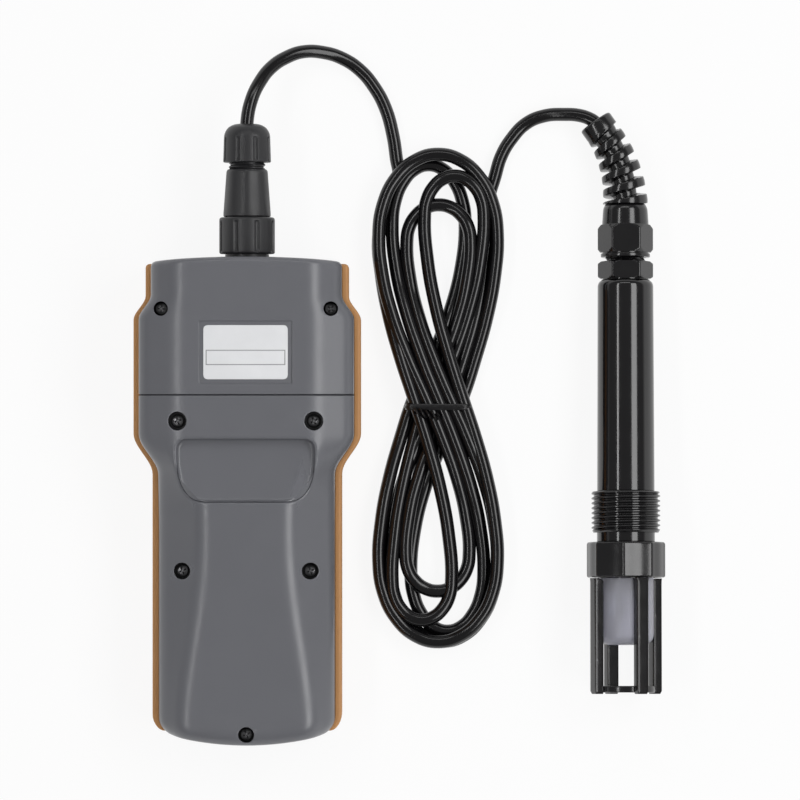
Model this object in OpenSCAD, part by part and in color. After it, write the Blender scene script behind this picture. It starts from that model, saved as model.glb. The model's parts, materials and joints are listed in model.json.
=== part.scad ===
// Handheld pH and conductivity meter lying face down, with its plug, its tied cord and its probe.
// Millimetres. +Z is up from the table, +Y runs from the grip towards the plug.
// The origin is on the table, under the middle of the meter and probe taken together.
// In the meter's own frame, y = 0 is the top edge of the case and d is the distance down from it.
// In the probe's own frame, y = 0 is the face where the guard's collar meets the threaded sleeve.

/* [Layout] */
// Width over the meter and the probe
set_w = 185; // [180:1:200]
// Length from the foot of the meter to the top of the strain relief
set_l = 220; // [216:1:240]

/* [Case outline] */
// Length of the case
case_l = 168.6; // [160:0.1:180]
// Half width at the top edge
head_hw = 35.2; // [34:0.1:37]
// Half width over the shoulders
shoulder_hw = 39.4; // [38:0.1:41]
// Half width of the grip
grip_hw = 32.8; // [31.5:0.1:34]
// Width of the coloured band down each side
band_w = 2.3; // [1.6:0.1:3]
// Corner radius at the top of the case
top_corner_r = 1.8; // [1.5:0.1:5]
// Corner radius at the foot of the case
foot_corner_r = 5; // [3:0.1:7]
// Rise of the curved top edge
top_rise = 1.8; // [0:0.1:3]
// Rise of the curved foot
foot_rise = 5.2; // [3:0.1:7]

// Distance from the top edge at which the shoulders start
shoulder_from_d = 12; // [8:0.5:14]
// Distance at which they are at their full width
shoulder_to_d = 21; // [19:0.5:26]
// Distance at which the case starts to narrow to the grip
waist_from_d = 61; // [58:0.5:64]
// Distance at which the grip starts
waist_to_d = 75; // [72:0.5:82]

/* [Case depth] */
// Height of the rim that the face sits behind
rim_proud = 1; // [0.6:0.1:1.6]
// Height of the joint between front and rear shells
part_z = 12; // [11:0.1:13]
// Height of the joint under the battery cover
cover_z = 17; // [16:0.1:18]
// Height of the side bumpers
bumper_h = 22; // [19:0.1:24]
// Height of the back over the head
head_h = 42.5; // [40:0.1:46]
// Height of the back at the foot of the grip
grip_h = 35; // [33:0.1:38]
// Height of the head's shoulder line at the side
head_edge_h = 36; // [34:0.1:38]
// Height of the grip's shoulder line at the side
grip_edge_h = 27.5; // [26:0.1:30]
// Wall thickness of the case
wall = 2.2; // [1.8:0.1:2.8]

/* [Back creases] */
// Half width of the flat over the head
head_crease = 23.6; // [22:0.1:25]
// Half width of the ridge below the finger recess
ridge_crease = 15; // [13:0.1:17]
// Half width of the ridge at the foot
foot_crease = 22.3; // [20:0.1:24]
// Size of the rounding along the side edges
edge_round = 4; // [2:0.1:5]
// Size of the rounding along the creases
crease_round = 2.4; // [1:0.1:4]

/* [Battery cover] */
// Distance from the top edge to the seam
seam_d = 47.4; // [45:0.1:49]
// Gap along the seam
seam_gap = 0.3; // [0.2:0.05:0.5]
// Distance from the top edge to the finger recess
recess_d = 62.8; // [61:0.1:66]
// Length of the finger recess
recess_l = 21.4; // [18:0.1:24]
// Half width of the finger recess at its top
recess_hw = 23.7; // [21:0.1:25]
// Half width of the finger recess at its foot
recess_foot_hw = 15.2; // [13:0.1:18]
// Depth of the finger recess under its upper wall
recess_depth = 4.4; // [3:0.1:5]
// Tilt of the recess floor
recess_tilt = 6; // [3:0.5:8]

/* [Screws] */
// Half spacing of the two case screws in the head
case_screw_x = 29.2; // [28.5:0.1:29.8]
// Their distance from the top edge
case_screw_d = 17.9; // [16:0.1:20]
// Half spacing of the upper cover screws
mid_screw_x = 23.4; // [22.8:0.1:24]
// Their distance from the top edge
mid_screw_d = 56.5; // [55:0.1:57.5]
// Half spacing of the lower cover screws
low_screw_x = 22.1; // [21:0.1:23]
// Their distance from the top edge
low_screw_d = 108.2; // [104:0.1:112]
// Distance of the foot screw from the foot edge
foot_screw_in = 3.9; // [3.7:0.1:4.5]
// Diameter of the wells in the head
case_well_d = 4.9; // [4.6:0.1:5.4]
// Diameter of the upper wells in the cover
mid_well_d = 6.3; // [5.6:0.1:6.6]
// Diameter of the lower wells in the cover
low_well_d = 5.7; // [5.2:0.1:6.2]
// Diameter of the foot well
foot_well_d = 5.4; // [4.8:0.1:5.6]
// Depth of the screw heads below the back
well_depth = 5; // [3.5:0.1:7]
// Screw head diameter
screw_head_d = 4.2; // [4:0.1:4.5]
// Screw head height
screw_head_h = 1.8; // [1.4:0.1:2.2]
// Screw shank diameter
shank_d = 2.4; // [2:0.1:2.6]

/* [Label] */
// Width of the label recess
label_recess_w = 31.8; // [28:0.1:36]
// Length of the label recess
label_recess_l = 21.4; // [19:0.1:25]
// Distance from the top edge to the label's centre
label_d = 32.9; // [31:0.1:34]
// Margin between the recess and the label
label_margin = 1.4; // [0.8:0.1:2.5]
// Depth of the label recess
label_depth = 0.5; // [0.3:0.1:0.8]

/* [Display and keys] */
// Width of the display window
window_w = 48; // [40:0.5:52]
// Length of the display window
window_l = 34; // [28:0.5:38]
// Distance from the top edge to the window's centre
window_d = 34; // [31:0.5:37]
// Diameter of a key
key_d = 10.4; // [8:0.1:11.5]
// Spacing of the keys across
key_pitch_x = 16; // [14.5:0.1:17]
// Spacing of the key rows
key_pitch_y = 16; // [15:0.1:17]
// Distance from the top edge to the first key row
key_d0 = 86; // [84:0.5:88]
// Key travel
key_travel = 1; // [0.6:0.1:1.2]

/* [Batteries] */
// Cell diameter
cell_d = 10.5; // [10:0.1:11]
// Room kept for the foot screw below the battery holder
holder_foot_room = 14.1; // [13:0.1:16]

/* [Connector] */
// Height of the connector's axis above the table
plug_z = 21.5; // [20.5:0.1:23]
// Diameter of the coupling ring
ring_d = 19.3; // [18.5:0.1:20.5]
// Length of the coupling ring
ring_l = 12.7; // [12:0.1:14]
// Diameter of the plug body behind the ring
plug_big_d = 16.5; // [16:0.1:17.5]
// Diameter of the plug body below the cap nut
plug_small_d = 14; // [13.4:0.1:15]
// Length of the tapered plug body
plug_l = 16.4; // [14:0.1:18]
// Diameter of the cap nut
cap_d = 16.6; // [16:0.1:17.5]
// Length of the cap nut
cap_l = 13.4; // [12.6:0.1:15]

/* [Cord] */
// Cord diameter
cord_d = 4.7; // [4.4:0.1:4.8]
// Height of the hank, two cords high
hank_h = 9.4; // [8:0.1:11]
// Half length of the hank
hank_hl = 87.4; // [84:0.1:90]
// Half width of the hank's two loops
hank_lobe = 22.9; // [21:0.1:24]
// Half width of the hank at its tie
hank_waist = 10.2; // [9.5:0.1:11]
// Width of the tie's band
tie_w = 4.2; // [3:0.1:5]
// Thickness of the tie's band
tie_t = 0.8; // [0.5:0.1:1.2]

/* [Probe] */
// Tube diameter
tube_d = 19.6; // [19.2:0.1:20]
// Length of the tube above the threaded sleeve
tube_l = 73.7; // [65:0.1:78]
// Tube wall
tube_wall = 1.8; // [1.4:0.1:2]
// Outer diameter of the threaded sleeve
thread_d = 24; // [22.5:0.1:25]
// Length of the thread
thread_l = 14.5; // [12:0.1:18]
// Diameter of the plain neck below the thread
undercut_d = 20.2; // [20:0.1:21]
// Length of that neck
undercut_l = 3.2; // [2.6:0.1:4]
// Gland hexagon across its corners
hex_ac = 19.5; // [19:0.1:21]
// Length of the gland's lower hexagon
gland_hex_l = 6; // [5:0.1:8]
// Length of the gland's upper nut
nut_l = 11.3; // [10.5:0.1:13]
// Length of the plain shoulder above the nut
shoulder_l = 7.3; // [6:0.1:9]
// Outer diameter of the lowest turn of the strain relief
coil_big_d = 15.9; // [14.5:0.1:16.4]
// Outer diameter of the top of the strain relief
coil_top_d = 12.1; // [11:0.1:13]
// Number of turns
coil_turns = 5; // [4:1:6]
// Radius of the bend in the strain relief
bend_r = 44; // [40:0.5:60]
// Angle of that bend
bend_angle = 35; // [33:0.5:37]
// Length of the collar at the end of the strain relief
top_collar_l = 4.6; // [3:0.1:6]

/* [Guard] */
// Collar across its eight corners
collar_ac = 28.1; // [27:0.1:30]
// Length of the collar
collar_l = 12.4; // [11:0.1:14]
// Turn of the collar's corners
collar_turn = 5; // [0:1:10]
// Length from the collar to the end of the ribs
cage_l = 40.4; // [37:0.1:44]
// Outer radius of the ribs
rib_r = 13; // [12.6:0.1:13.4]
// Width of a rib
rib_w = 4.3; // [3.5:0.1:5]
// Direction of the first rib
rib_turn = 65; // [60:1:70]
// Height of the ring at the end of the cage
end_ring_h = 2.8; // [2:0.1:4]
// Outer diameter of the cup
cup_d = 19.3; // [18.8:0.1:19.5]
// Length of the cup
cup_l = 23.2; // [21:0.1:26]
// Wall of the cup
cup_wall = 1.3; // [1:0.1:1.4]

/* [Hidden] */
// Fine curves for round parts
$fn = 64;
// Clearance of a fixed seat
fit = 0.1;
// Clearance of a turning or sliding seat
run = 0.06;
// Small overrun of a cut past a face
cut = 0.5;

// Where the meter and the probe lie
meter_x = -set_w / 2 + shoulder_hw;
meter_y = -set_l / 2 + case_l;
collar_reach = collar_ac / 2 * cos(collar_turn);
probe_x = set_w / 2 - collar_reach;

// Front and inside levels of the meter
face_z = rim_proud;
floor_z = face_z + 2.4;
flange_z = floor_z + 0.2;
flange_t = 1;
mat_z = flange_z + flange_t + 0.3 + key_travel + 0.1;
mat_t = 1.2;
board_z = mat_z + mat_t + fit;
board_t = 1.6;
board_hw = 24.4;
deck_t = 1.6;
gasket_t = 0.9;

// Plug places, measured up from the top edge of the case
flange_l = 1.1;
ring_t = flange_l + 0.2;
plug_t = ring_t + ring_l + 0.2;
neck_t = plug_t + plug_l;
cap_t = neck_t + 2.4;
cap_top_t = cap_t + cap_l;
barrel_r = 7;
waist_r = 6.5;
clamp_r = 5.4;
clamp_l = 4.6;
cap_floor = 3.5;

// Probe places, measured from the collar's upper face
sleeve_top = undercut_l + thread_l;
tube_top = sleeve_top + tube_l;
hex_t = tube_top + 0.3;
gap_t = hex_t + gland_hex_l;
nut_t = gap_t + 1.5;
shoulder_t = nut_t + nut_l;
bend_t = shoulder_t + shoulder_l;
hex_flat_r = hex_ac / 2 * cos(30);
probe_tilt = asin((collar_reach - hex_flat_r - 0.2) / shoulder_t);
collar_end = top_collar_l * cos(bend_angle) + coil_top_d / 2 * sin(bend_angle);
top_reach = bend_t + bend_r * sin(bend_angle) + collar_end;
probe_y = set_l / 2 - top_reach * cos(probe_tilt);
bore_r = cord_d / 2 + 0.25;
neck_r = 9.5;
carrier_r = 7.9;
spigot_r = 7;
spigot_l = 5.8;
nut_floor = 2;
plug_in_l = 8;

// Where the case's forms change, measured down from the top edge
top_curve_d = 30;
slope_from_d = waist_from_d - 5;
slope_to_d = case_l - 8.6;
drop_from_d = waist_from_d - 3;
drop_to_d = waist_to_d + 21;
narrow_from_d = waist_to_d - 5;
narrow_to_d = waist_to_d + 11;
widen_from_d = waist_to_d + 25;
foot_curve_l = 40;
head_round = 2;
foot_round = 6;
foot_fall = 0.8;

// Smooth step from 0 at a to 1 at b
function step(a, b, t) = t <= a ? 0 : t >= b ? 1 : pow((t - a) / (b - a), 2) * (3 - 2 * (t - a) / (b - a));
// Rounding of a corner of radius r, at a distance t from its start
function round_in(t, r) = t >= r ? 0 : t <= 0 ? r : r - sqrt(r * r - pow(r - t, 2));
// Half width of the case over its bumpers
function half_w(d) = head_hw
    + (shoulder_hw - head_hw) * step(shoulder_from_d, shoulder_to_d, d)
    - (shoulder_hw - grip_hw) * step(waist_from_d, waist_to_d, d)
    - round_in(d, top_corner_r) - round_in(case_l - d, foot_corner_r);
// Place along y of the point at x and d, with both end edges curved
function bow(d, x) = -d
    - top_rise * pow(x / head_hw, 2) * (1 - step(0, top_curve_d, d))
    + foot_rise * pow(x / grip_hw, 2) * step(case_l - foot_curve_l, case_l, d);
// Fall of the back where it is rounded at both ends
function end_fall(d) = round_in(d, head_round) + foot_fall * round_in(case_l - d, foot_round);
// Height of the middle of the back
function back_z(d) = head_h - (head_h - grip_h) * step(slope_from_d, slope_to_d, d) - end_fall(d);
// Height of the shoulder line at the side
function edge_z(d) = head_edge_h - (head_edge_h - grip_edge_h) * step(drop_from_d, drop_to_d, d) - end_fall(d);
// Half width between the creases
function crease_x(d) = head_crease
    - (head_crease - ridge_crease) * step(narrow_from_d, narrow_to_d, d)
    + (foot_crease - ridge_crease) * step(widen_from_d, case_l, d);
// Evenly spread places after a, up to b
function spread(a, b, n) = [for (i = [1:n]) a + (b - a) * i / n];
corner_steps = [0, 0.05, 0.18, 0.4, 0.7, 1];
// Places of the cross-sections, closer together where the outline turns
grid = concat(
    corner_steps * top_corner_r, spread(top_corner_r, shoulder_from_d, 2),
    spread(shoulder_from_d, shoulder_to_d, 5), spread(shoulder_to_d, waist_from_d, 6),
    spread(waist_from_d, waist_to_d, 8), spread(waist_to_d, widen_from_d, 5),
    spread(widen_from_d, case_l - foot_round, 9),
    [for (i = [4:-1:0]) case_l - corner_steps[i] * foot_round]);
function stations(a, b) = concat([a], [for (g = grid) if (g > a + 0.1 && g < b - 0.1) g], [b]);
function bezier(a, b, c, n) = [for (i = [0:n]) let(t = i / n)
    a * (1 - t) * (1 - t) + b * 2 * t * (1 - t) + c * t * t];
function unit(v) = v / norm(v);
// Right half of a cross-section, as x and z, from the side wall to just short of the middle
function half_section(d, inset) = let(
    w = half_w(d) - band_w - inset,
    corner = [w, edge_z(d) - inset],
    crease = [crease_x(d), back_z(d) - inset],
    slope = unit(crease - corner))
    concat(
        bezier(corner - [0, edge_round], corner, corner + slope * edge_round, 4),
        bezier(crease - slope * crease_round, crease, crease - [crease_round, 0], 3),
        [for (k = [0.66, 0.33]) [k * (crease[0] - crease_round), crease[1]]]);
function section(d, inset) = let(h = half_section(d, inset), n = len(h))
    concat(h, [[0, h[n - 1][1]]], [for (i = [n - 1:-1:0]) [-h[i][0], h[i][1]]]);

// A solid through a row of rings of n points each
module loft(points, n) {
    m = len(points) / n;
    polyhedron(points, concat(
        [[for (i = [0:n - 1]) i]],
        [for (j = [0:m - 2]) for (i = [0:n - 1]) let(k = (i + 1) % n)
            for (f = [[j * n + i, (j + 1) * n + i, (j + 1) * n + k], [j * n + i, (j + 1) * n + k, j * n + k]]) f],
        [[for (i = [n - 1:-1:0]) (m - 1) * n + i]]), 4);
}
// The rounded back between distances a and b: its skin, upright sides and ends, and a flat foot at z0
module back(a, b, z0, inset = 0) {
    ds = stations(a, b);
    m = len(ds);
    n = len(section(a, inset));
    skin = [for (d = ds) for (p = section(d, inset)) [p[0], bow(d, p[0]), p[1]]];
    function foot(d) = [for (p = section(d, inset)) [p[0], bow(d, p[0]), z0]];
    feet = [for (j = [0, m - 1]) for (q = foot(ds[j])) q];
    sides = [for (d = ds) let(w = half_w(d) - band_w - inset) for (x = [w, -w]) [x, bow(d, x), z0]];
    function t(j, i) = j * n + i;
    function f(e, i) = m * n + e * n + i;
    function side(j, k) = j == 0 ? f(0, k * (n - 1)) : j == m - 1 ? f(1, k * (n - 1)) : (m + 2) * n + 2 * j + k;
    polyhedron(concat(skin, feet, sides), concat(
        [for (j = [0:m - 2]) for (i = [0:n - 2])
            for (q = [[t(j, i), t(j + 1, i), t(j + 1, i + 1)], [t(j, i), t(j + 1, i + 1), t(j, i + 1)]]) q],
        [for (j = [0:m - 2]) for (q = [
            [side(j, 0), side(j + 1, 0), t(j + 1, 0)], [side(j, 0), t(j + 1, 0), t(j, 0)],
            [t(j, n - 1), t(j + 1, n - 1), side(j + 1, 1)], [t(j, n - 1), side(j + 1, 1), side(j, 1)]]) q],
        [for (i = [0:n - 2]) for (q = [
            [f(0, i), t(0, i), t(0, i + 1), f(0, i + 1)],
            [f(1, i + 1), t(m - 1, i + 1), t(m - 1, i), f(1, i)]]) q],
        [for (j = [1:m - 3]) [side(j, 1), side(j + 1, 1), side(j + 1, 0), side(j, 0)]],
        [for (i = [0:n - 2]) for (q = [
            [side(1, 1), f(0, i), f(0, i + 1)], [side(m - 2, 1), f(1, i + 1), f(1, i)]]) q],
        [[side(1, 1), side(1, 0), side(0, 0)], [side(m - 2, 1), side(m - 1, 0), side(m - 2, 0)]]), 4);
}
// The case's outline, drawn in by side at the sides and by ends at both ends
module plan(side = 0, ends = 0, from = 0, to = case_l) {
    a = max(from, ends);
    b = min(to, case_l - ends);
    ds = stations(a, b);
    cross = [-0.75:0.25:0.75];
    wa = half_w(a) - side;
    wb = half_w(b) - side;
    polygon(concat(
        [for (k = cross) [k * wa, bow(a, k * wa)]],
        [for (d = ds) [half_w(d) - side, bow(d, half_w(d) - side)]],
        [for (k = cross) [-k * wb, bow(b, k * wb)]],
        [for (i = [len(ds) - 1:-1:0]) let(d = ds[i]) [-(half_w(d) - side), bow(d, half_w(d) - side)]]));
}
module on_meter() translate([meter_x, meter_y, 0]) children();
module on_plug() translate([meter_x, meter_y, plug_z]) rotate([-90, 0, 0]) children();
module on_probe() translate([probe_x, probe_y, collar_reach * cos(probe_tilt)]) rotate([-90 - probe_tilt, 0, 0])
    children();
// Revolves a list of [radius, height] points
module turned(points) rotate_extrude() polygon(points);
module tube(r_out, r_in, h) turned([[r_in, 0], [r_out, 0], [r_out, h], [r_in, h]]);
module both() for (s = [-1, 1]) scale([s, 1, 1]) children();
module around(n, r, turn = 0) for (i = [0:n - 1]) rotate(turn + 360 * i / n) translate([r, 0, 0]) children();

// Places of the five screws of the battery cover: x, distance down, well diameter
cover_screw_places = [
    [-mid_screw_x, mid_screw_d, mid_well_d],
    [mid_screw_x, mid_screw_d, mid_well_d],
    [-low_screw_x, low_screw_d, low_well_d],
    [low_screw_x, low_screw_d, low_well_d],
    [0, case_l - foot_screw_in, foot_well_d]];
case_screw_places = [[-case_screw_x, case_screw_d, case_well_d], [case_screw_x, case_screw_d, case_well_d]];
column_wall = 1.5;
// Height of the back's surface at x and d, leaving out the roundings
function surface_z(x, d) = let(c = crease_x(d), w = half_w(d) - band_w, k = max(0, abs(x) - c) / (w - c))
    back_z(d) + (edge_z(d) - back_z(d)) * k;
function seat_z(s) = surface_z(s[0], s[1]) - well_depth - screw_head_h;
module column(s) translate([s[0], -s[1], part_z]) cylinder(d = s[2] + 2 * column_wall, h = head_h);
module well(s) {
    translate([s[0], -s[1], seat_z(s)]) cylinder(d = s[2], h = head_h);
    translate([s[0], -s[1], part_z - cut]) cylinder(d = shank_d + 0.5, h = head_h - part_z);
}
module screw(s, tip_z) translate([s[0], -s[1], 0]) {
    difference() {
        translate([0, 0, seat_z(s) + fit]) cylinder(d = screw_head_d, h = screw_head_h);
        for (a = [0, 90]) translate([0, 0, seat_z(s) + screw_head_h]) rotate(a)
            cube([2.4, 0.6, 1.6], center = true);
    }
    translate([0, 0, tip_z]) cylinder(d = shank_d, h = seat_z(s) - tip_z + 2 * fit);
}

boss_r = 3.6;
module front_shell() color([0.36, 0.37, 0.38]) on_meter() difference() {
    union() {
        difference() {
            translate([0, 0, face_z]) linear_extrude(part_z - face_z) plan(side = band_w);
            translate([0, 0, floor_z]) linear_extrude(part_z) plan(side = band_w + wall, ends = wall);
        }
        for (s = case_screw_places) translate([s[0], -s[1], face_z]) cylinder(r = boss_r, h = part_z - face_z);
    }
    for (s = case_screw_places) translate([s[0], -s[1], floor_z]) cylinder(d = shank_d + 0.1, h = part_z);
    translate([0, -window_d, face_z]) {
        cube([window_w - 4, window_l - 4, 12], center = true);
        translate([-window_w / 2 - fit, -window_l / 2 - fit, -cut])
            cube([window_w + 2 * fit, window_l + 2 * fit, 1.5 + cut]);
    }
    for (p = key_places) translate([p[0], p[1], 0]) cylinder(r = key_d / 2 + run, h = part_z);
    translate([0, 0, part_z - gasket_t]) linear_extrude(part_z) difference() {
        plan(side = band_w + 0.6, ends = 0.6);
        plan(side = band_w + 1.6, ends = 1.6);
    }
}
module side_bumpers() color([0.8, 0.55, 0.3]) on_meter() linear_extrude(bumper_h) difference() {
    plan(ends = 0.4);
    plan(side = band_w - fit / 2);
}
module case_gasket() color([0.1, 0.1, 0.1]) on_meter()
    translate([0, 0, part_z - gasket_t]) linear_extrude(gasket_t) difference() {
        plan(side = band_w + 0.65, ends = 0.65);
        plan(side = band_w + 1.55, ends = 1.55);
    }
socket_hole_r = 6.5;
rim_w = 3.2;
module rear_shell() color([0.42, 0.42, 0.43]) on_meter() difference() {
    union() {
        difference() {
            back(0, seam_d, part_z);
            difference() {
                back(wall, seam_d - wall, part_z - cut, wall);
                for (s = case_screw_places) column(s);
            }
        }
        translate([0, 0, part_z]) linear_extrude(cover_z - part_z) difference() {
            plan(side = band_w, from = seam_d);
            plan(side = band_w + rim_w, ends = rim_w, from = seam_d + rim_w);
        }
        translate([0, 0, part_z]) linear_extrude(deck_t)
            plan(side = band_w + rim_w - cut, ends = rim_w - cut, from = seam_d - cut);
        for (s = cover_screw_places) translate([s[0], -s[1], part_z])
            cylinder(r = boss_r, h = cover_z - part_z);
    }
    for (s = case_screw_places) well(s);
    for (s = cover_screw_places) translate([s[0], -s[1], part_z + 0.6]) cylinder(d = shank_d + 0.1, h = 9);
    translate([-label_recess_w / 2, -label_d - label_recess_l / 2, head_h - label_depth])
        cube([label_recess_w, label_recess_l, 2]);
    translate([0, cut, plug_z]) rotate([90, 0, 0]) cylinder(r = socket_hole_r, h = wall + 3 * cut);
    translate([0, 0, cover_z - gasket_t]) linear_extrude(part_z) difference() {
        plan(side = band_w + 0.6, ends = 0.6, from = seam_d + 0.6);
        plan(side = band_w + 1.8, ends = 1.8, from = seam_d + 1.8);
    }
}
// Outline of the finger recess: a straight top, sides that curve in, and a narrower foot
recess_side = bezier([recess_hw, -0.3 * recess_l], [recess_hw - 0.5, -0.95 * recess_l], [recess_foot_hw, -recess_l], 6);
recess_outline = concat([[-recess_hw, 0], [recess_hw, 0]], recess_side,
    [for (i = [len(recess_side) - 1:-1:0]) [-recess_side[i][0], recess_side[i][1]]]);
// The hollow that fingers curl into, its floor deepest under the upper wall
module finger_recess(grow = 0) translate([0, -recess_d + grow, head_h - recess_depth - grow]) rotate([-recess_tilt, 0, 0])
    linear_extrude(30) offset(r = 4, $fn = 32) offset(delta = grow - 4) polygon(recess_outline);
module battery_cover() color([0.42, 0.42, 0.43]) on_meter() difference() {
    back(seam_d + seam_gap, case_l, cover_z + fit);
    difference() {
        back(seam_d + seam_gap + wall, case_l - wall, cover_z, wall);
        for (s = cover_screw_places) column(s);
        finger_recess(wall);
    }
    for (s = cover_screw_places) well(s);
    finger_recess();
}
module cover_gasket() color([0.1, 0.1, 0.1]) on_meter()
    translate([0, 0, cover_z - gasket_t]) linear_extrude(gasket_t) difference() {
        plan(side = band_w + 0.65, ends = 0.65, from = seam_d + 0.65);
        plan(side = band_w + 1.75, ends = 1.75, from = seam_d + 1.75);
    }
module id_label() color([0.9, 0.9, 0.9]) on_meter()
    translate([0, -label_d, head_h - label_depth]) linear_extrude(0.3)
        square([label_recess_w - 2 * label_margin, label_recess_l - 2 * label_margin], center = true);
module case_screws() color([0.6, 0.6, 0.62]) on_meter() for (s = case_screw_places) screw(s, floor_z + 1);
module cover_screws() color([0.6, 0.6, 0.62]) on_meter() for (s = cover_screw_places) screw(s, part_z + 1);

// Battery holder on the deck: two channels with two cells end to end in each
cell_x = cell_d / 2 + 1;
tray_d = mid_screw_d + 1;
tray_ends = 8;
tray_l = case_l - holder_foot_room - tray_d;
// Cells as long as the holder takes, two in a row
cell_l = (tray_l - tray_ends) / 2;
cell_tip = 1;
cell_gap = 0.2;
tray_end_wall = 1.4;
contact_d = 8.6;
contact_t = 0.5;
spring_l = 2.4;
tray_z = part_z + deck_t + fit;
tray_floor = 1.4;
cell_z = tray_z + tray_floor + cell_d / 2;
module along(d) translate([0, -d, cell_z]) rotate([90, 0, 0]) children();
module battery_tray() color([0.12, 0.12, 0.13]) on_meter() difference() {
    translate([-2 * cell_x - 1, -tray_d - tray_l, tray_z]) cube([4 * cell_x + 2, tray_l, cell_z - tray_z]);
    both() translate([cell_x, 0, 0]) along(tray_d + tray_end_wall)
        cylinder(d = cell_d + 2 * fit, h = tray_l - 2 * tray_end_wall);
}
module battery_cells() color([0.55, 0.5, 0.3]) on_meter() both() translate([cell_x, 0, 0])
    for (i = [0, 1]) along(tray_d + tray_ends / 2 + i * (cell_l + cell_gap)) {
        cylinder(d = cell_d, h = cell_l - cell_tip);
        cylinder(d = 3.6, h = cell_l);
    }
module battery_contacts() color([0.75, 0.72, 0.6]) on_meter() both() translate([cell_x, 0, 0]) {
    along(tray_d + tray_end_wall + fit) {
        cylinder(d = contact_d, h = contact_t);
        cylinder(d1 = contact_d - 1.6, d2 = contact_d - 3.6, h = spring_l);
    }
    along(tray_d + tray_l - tray_end_wall - fit - contact_t) cylinder(d = contact_d, h = contact_t);
}

// Display, keys and board behind the face
module slab(x, d, w, l, z, t) translate([x - w / 2, -d - l / 2, z]) cube([w, l, t]);
key_places = [for (r = [0, 1]) for (c = [-1, 0, 1]) [c * key_pitch_x, -key_d0 - r * key_pitch_y]];
board_top_d = 8;
board_l = 106;
module display_window() color([0.7, 0.75, 0.78]) on_meter() slab(0, window_d, window_w, window_l, face_z, 1.4);
module display_panel() color([0.55, 0.6, 0.5]) on_meter()
    slab(0, window_d, window_w, window_l + 2, floor_z + fit, board_z - floor_z - 2 * fit);
module main_board() color([0.1, 0.35, 0.2]) on_meter()
    slab(0, board_top_d + board_l / 2, 2 * board_hw, board_l, board_z, board_t);
module keypad_mat() color([0.3, 0.3, 0.3]) on_meter()
    slab(0, key_d0 + key_pitch_y / 2, 2 * board_hw, key_pitch_y + key_d + 8, mat_z, mat_t);
module key(i) color([0.75, 0.76, 0.77]) on_meter() translate([key_places[i][0], key_places[i][1], 0]) {
    translate([0, 0, face_z - 0.5]) cylinder(d = key_d, h = flange_z + flange_t - face_z + 0.5);
    translate([0, 0, flange_z]) cylinder(d = key_d + 2.4, h = flange_t);
    translate([0, 0, flange_z]) cylinder(d = 4, h = flange_t + 0.3);
}
module buzzer() color([0.1, 0.1, 0.1]) on_meter()
    translate([board_hw / 2, -board_top_d - 18, board_z + board_t + fit]) cylinder(d = 12, h = 4);

// Socket in the top wall of the case
socket_depth = 9;
barrel_l = 8.4;
flange_r = 7.6;
socket_well_r = 5.9;
socket_floor = 0.4;
pin_circle_r = 3.4;
pin_r = 0.5;
socket_nut_h = 3;
module socket_body() color([0.2, 0.2, 0.2]) on_plug() difference() {
    union() {
        translate([0, 0, fit]) cylinder(r = flange_r, h = flange_l - fit);
        translate([0, 0, flange_l - fit]) cylinder(r = barrel_r, h = barrel_l);
        translate([0, 0, -socket_depth]) cylinder(r = socket_hole_r - fit, h = socket_depth + flange_l);
    }
    translate([0, 0, flange_l + socket_floor]) cylinder(r = socket_well_r, h = 2 * barrel_l);
    around(6, pin_circle_r) translate([0, 0, -socket_depth - cut])
        cylinder(r = pin_r + 0.05, h = 2 * socket_depth, $fn = 24);
}
// Room for the bow of the wall behind the flat nut
nut_seat = 0.25;
module socket_nut() color([0.7, 0.7, 0.72]) on_plug() difference() {
    translate([0, 0, -wall - nut_seat - socket_nut_h]) cylinder(r = flange_r + 1, h = socket_nut_h, $fn = 6);
    translate([0, 0, -socket_depth]) cylinder(r = socket_hole_r, h = socket_depth);
}
module socket_pins() color([0.85, 0.7, 0.3]) on_plug() around(6, pin_circle_r)
    translate([0, 0, -socket_depth - cut]) cylinder(r = pin_r, h = socket_depth + barrel_l - 1.9, $fn = 24);
module socket_seal() color([0.08, 0.08, 0.08]) on_plug()
    translate([0, 0, flange_l + socket_floor + fit]) tube(socket_well_r - fit, pin_circle_r + 0.9, 0.6);
// Step inside the coupling ring that draws the plug body in, and the room for the body's collar behind it
ring_step = 8.6;
ring_lip = 2.2;
collar_r = 8.2;
module coupling_ring() color([0.22, 0.22, 0.22]) on_plug() difference() {
    translate([0, 0, ring_t]) turned([
        [barrel_r + run, 0], [ring_d / 2 - 0.8, 0], [ring_d / 2, 0.8], [ring_d / 2, ring_l - 1],
        [ring_d / 2 - 1, ring_l], [waist_r + run, ring_l], [waist_r + run, ring_l - ring_lip],
        [collar_r + fit, ring_l - ring_lip], [collar_r + fit, ring_step], [barrel_r + run, ring_step]]);
    around(8, ring_d / 2 + 0.35, 22.5) translate([0, 0, ring_t + 1.6])
        cylinder(r = 1, h = ring_l - 3.2, $fn = 32);
}
module plug_body() color([0.22, 0.22, 0.22]) on_plug() difference() {
    turned([
        [4.4, ring_t + ring_step + 0.2], [collar_r, ring_t + ring_step + 0.2],
        [collar_r, ring_t + ring_l - ring_lip - 0.2], [waist_r, ring_t + ring_l - ring_lip - 0.2],
        [waist_r, plug_t], [plug_big_d / 2 - 0.6, plug_t], [plug_big_d / 2, plug_t + 0.6],
        [plug_small_d / 2, neck_t], [6.4, neck_t], [6.4, cap_t - 0.2], [clamp_r, cap_t - 0.2], [clamp_r, cap_t + clamp_l],
        [bore_r, cap_t + clamp_l], [bore_r, neck_t - 8], [4.4, neck_t - 8]]);
    around(16, plug_big_d / 2 + 0.45) translate([0, 0, plug_t]) cylinder(r = 0.8, h = 5, $fn = 24);
}
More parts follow.
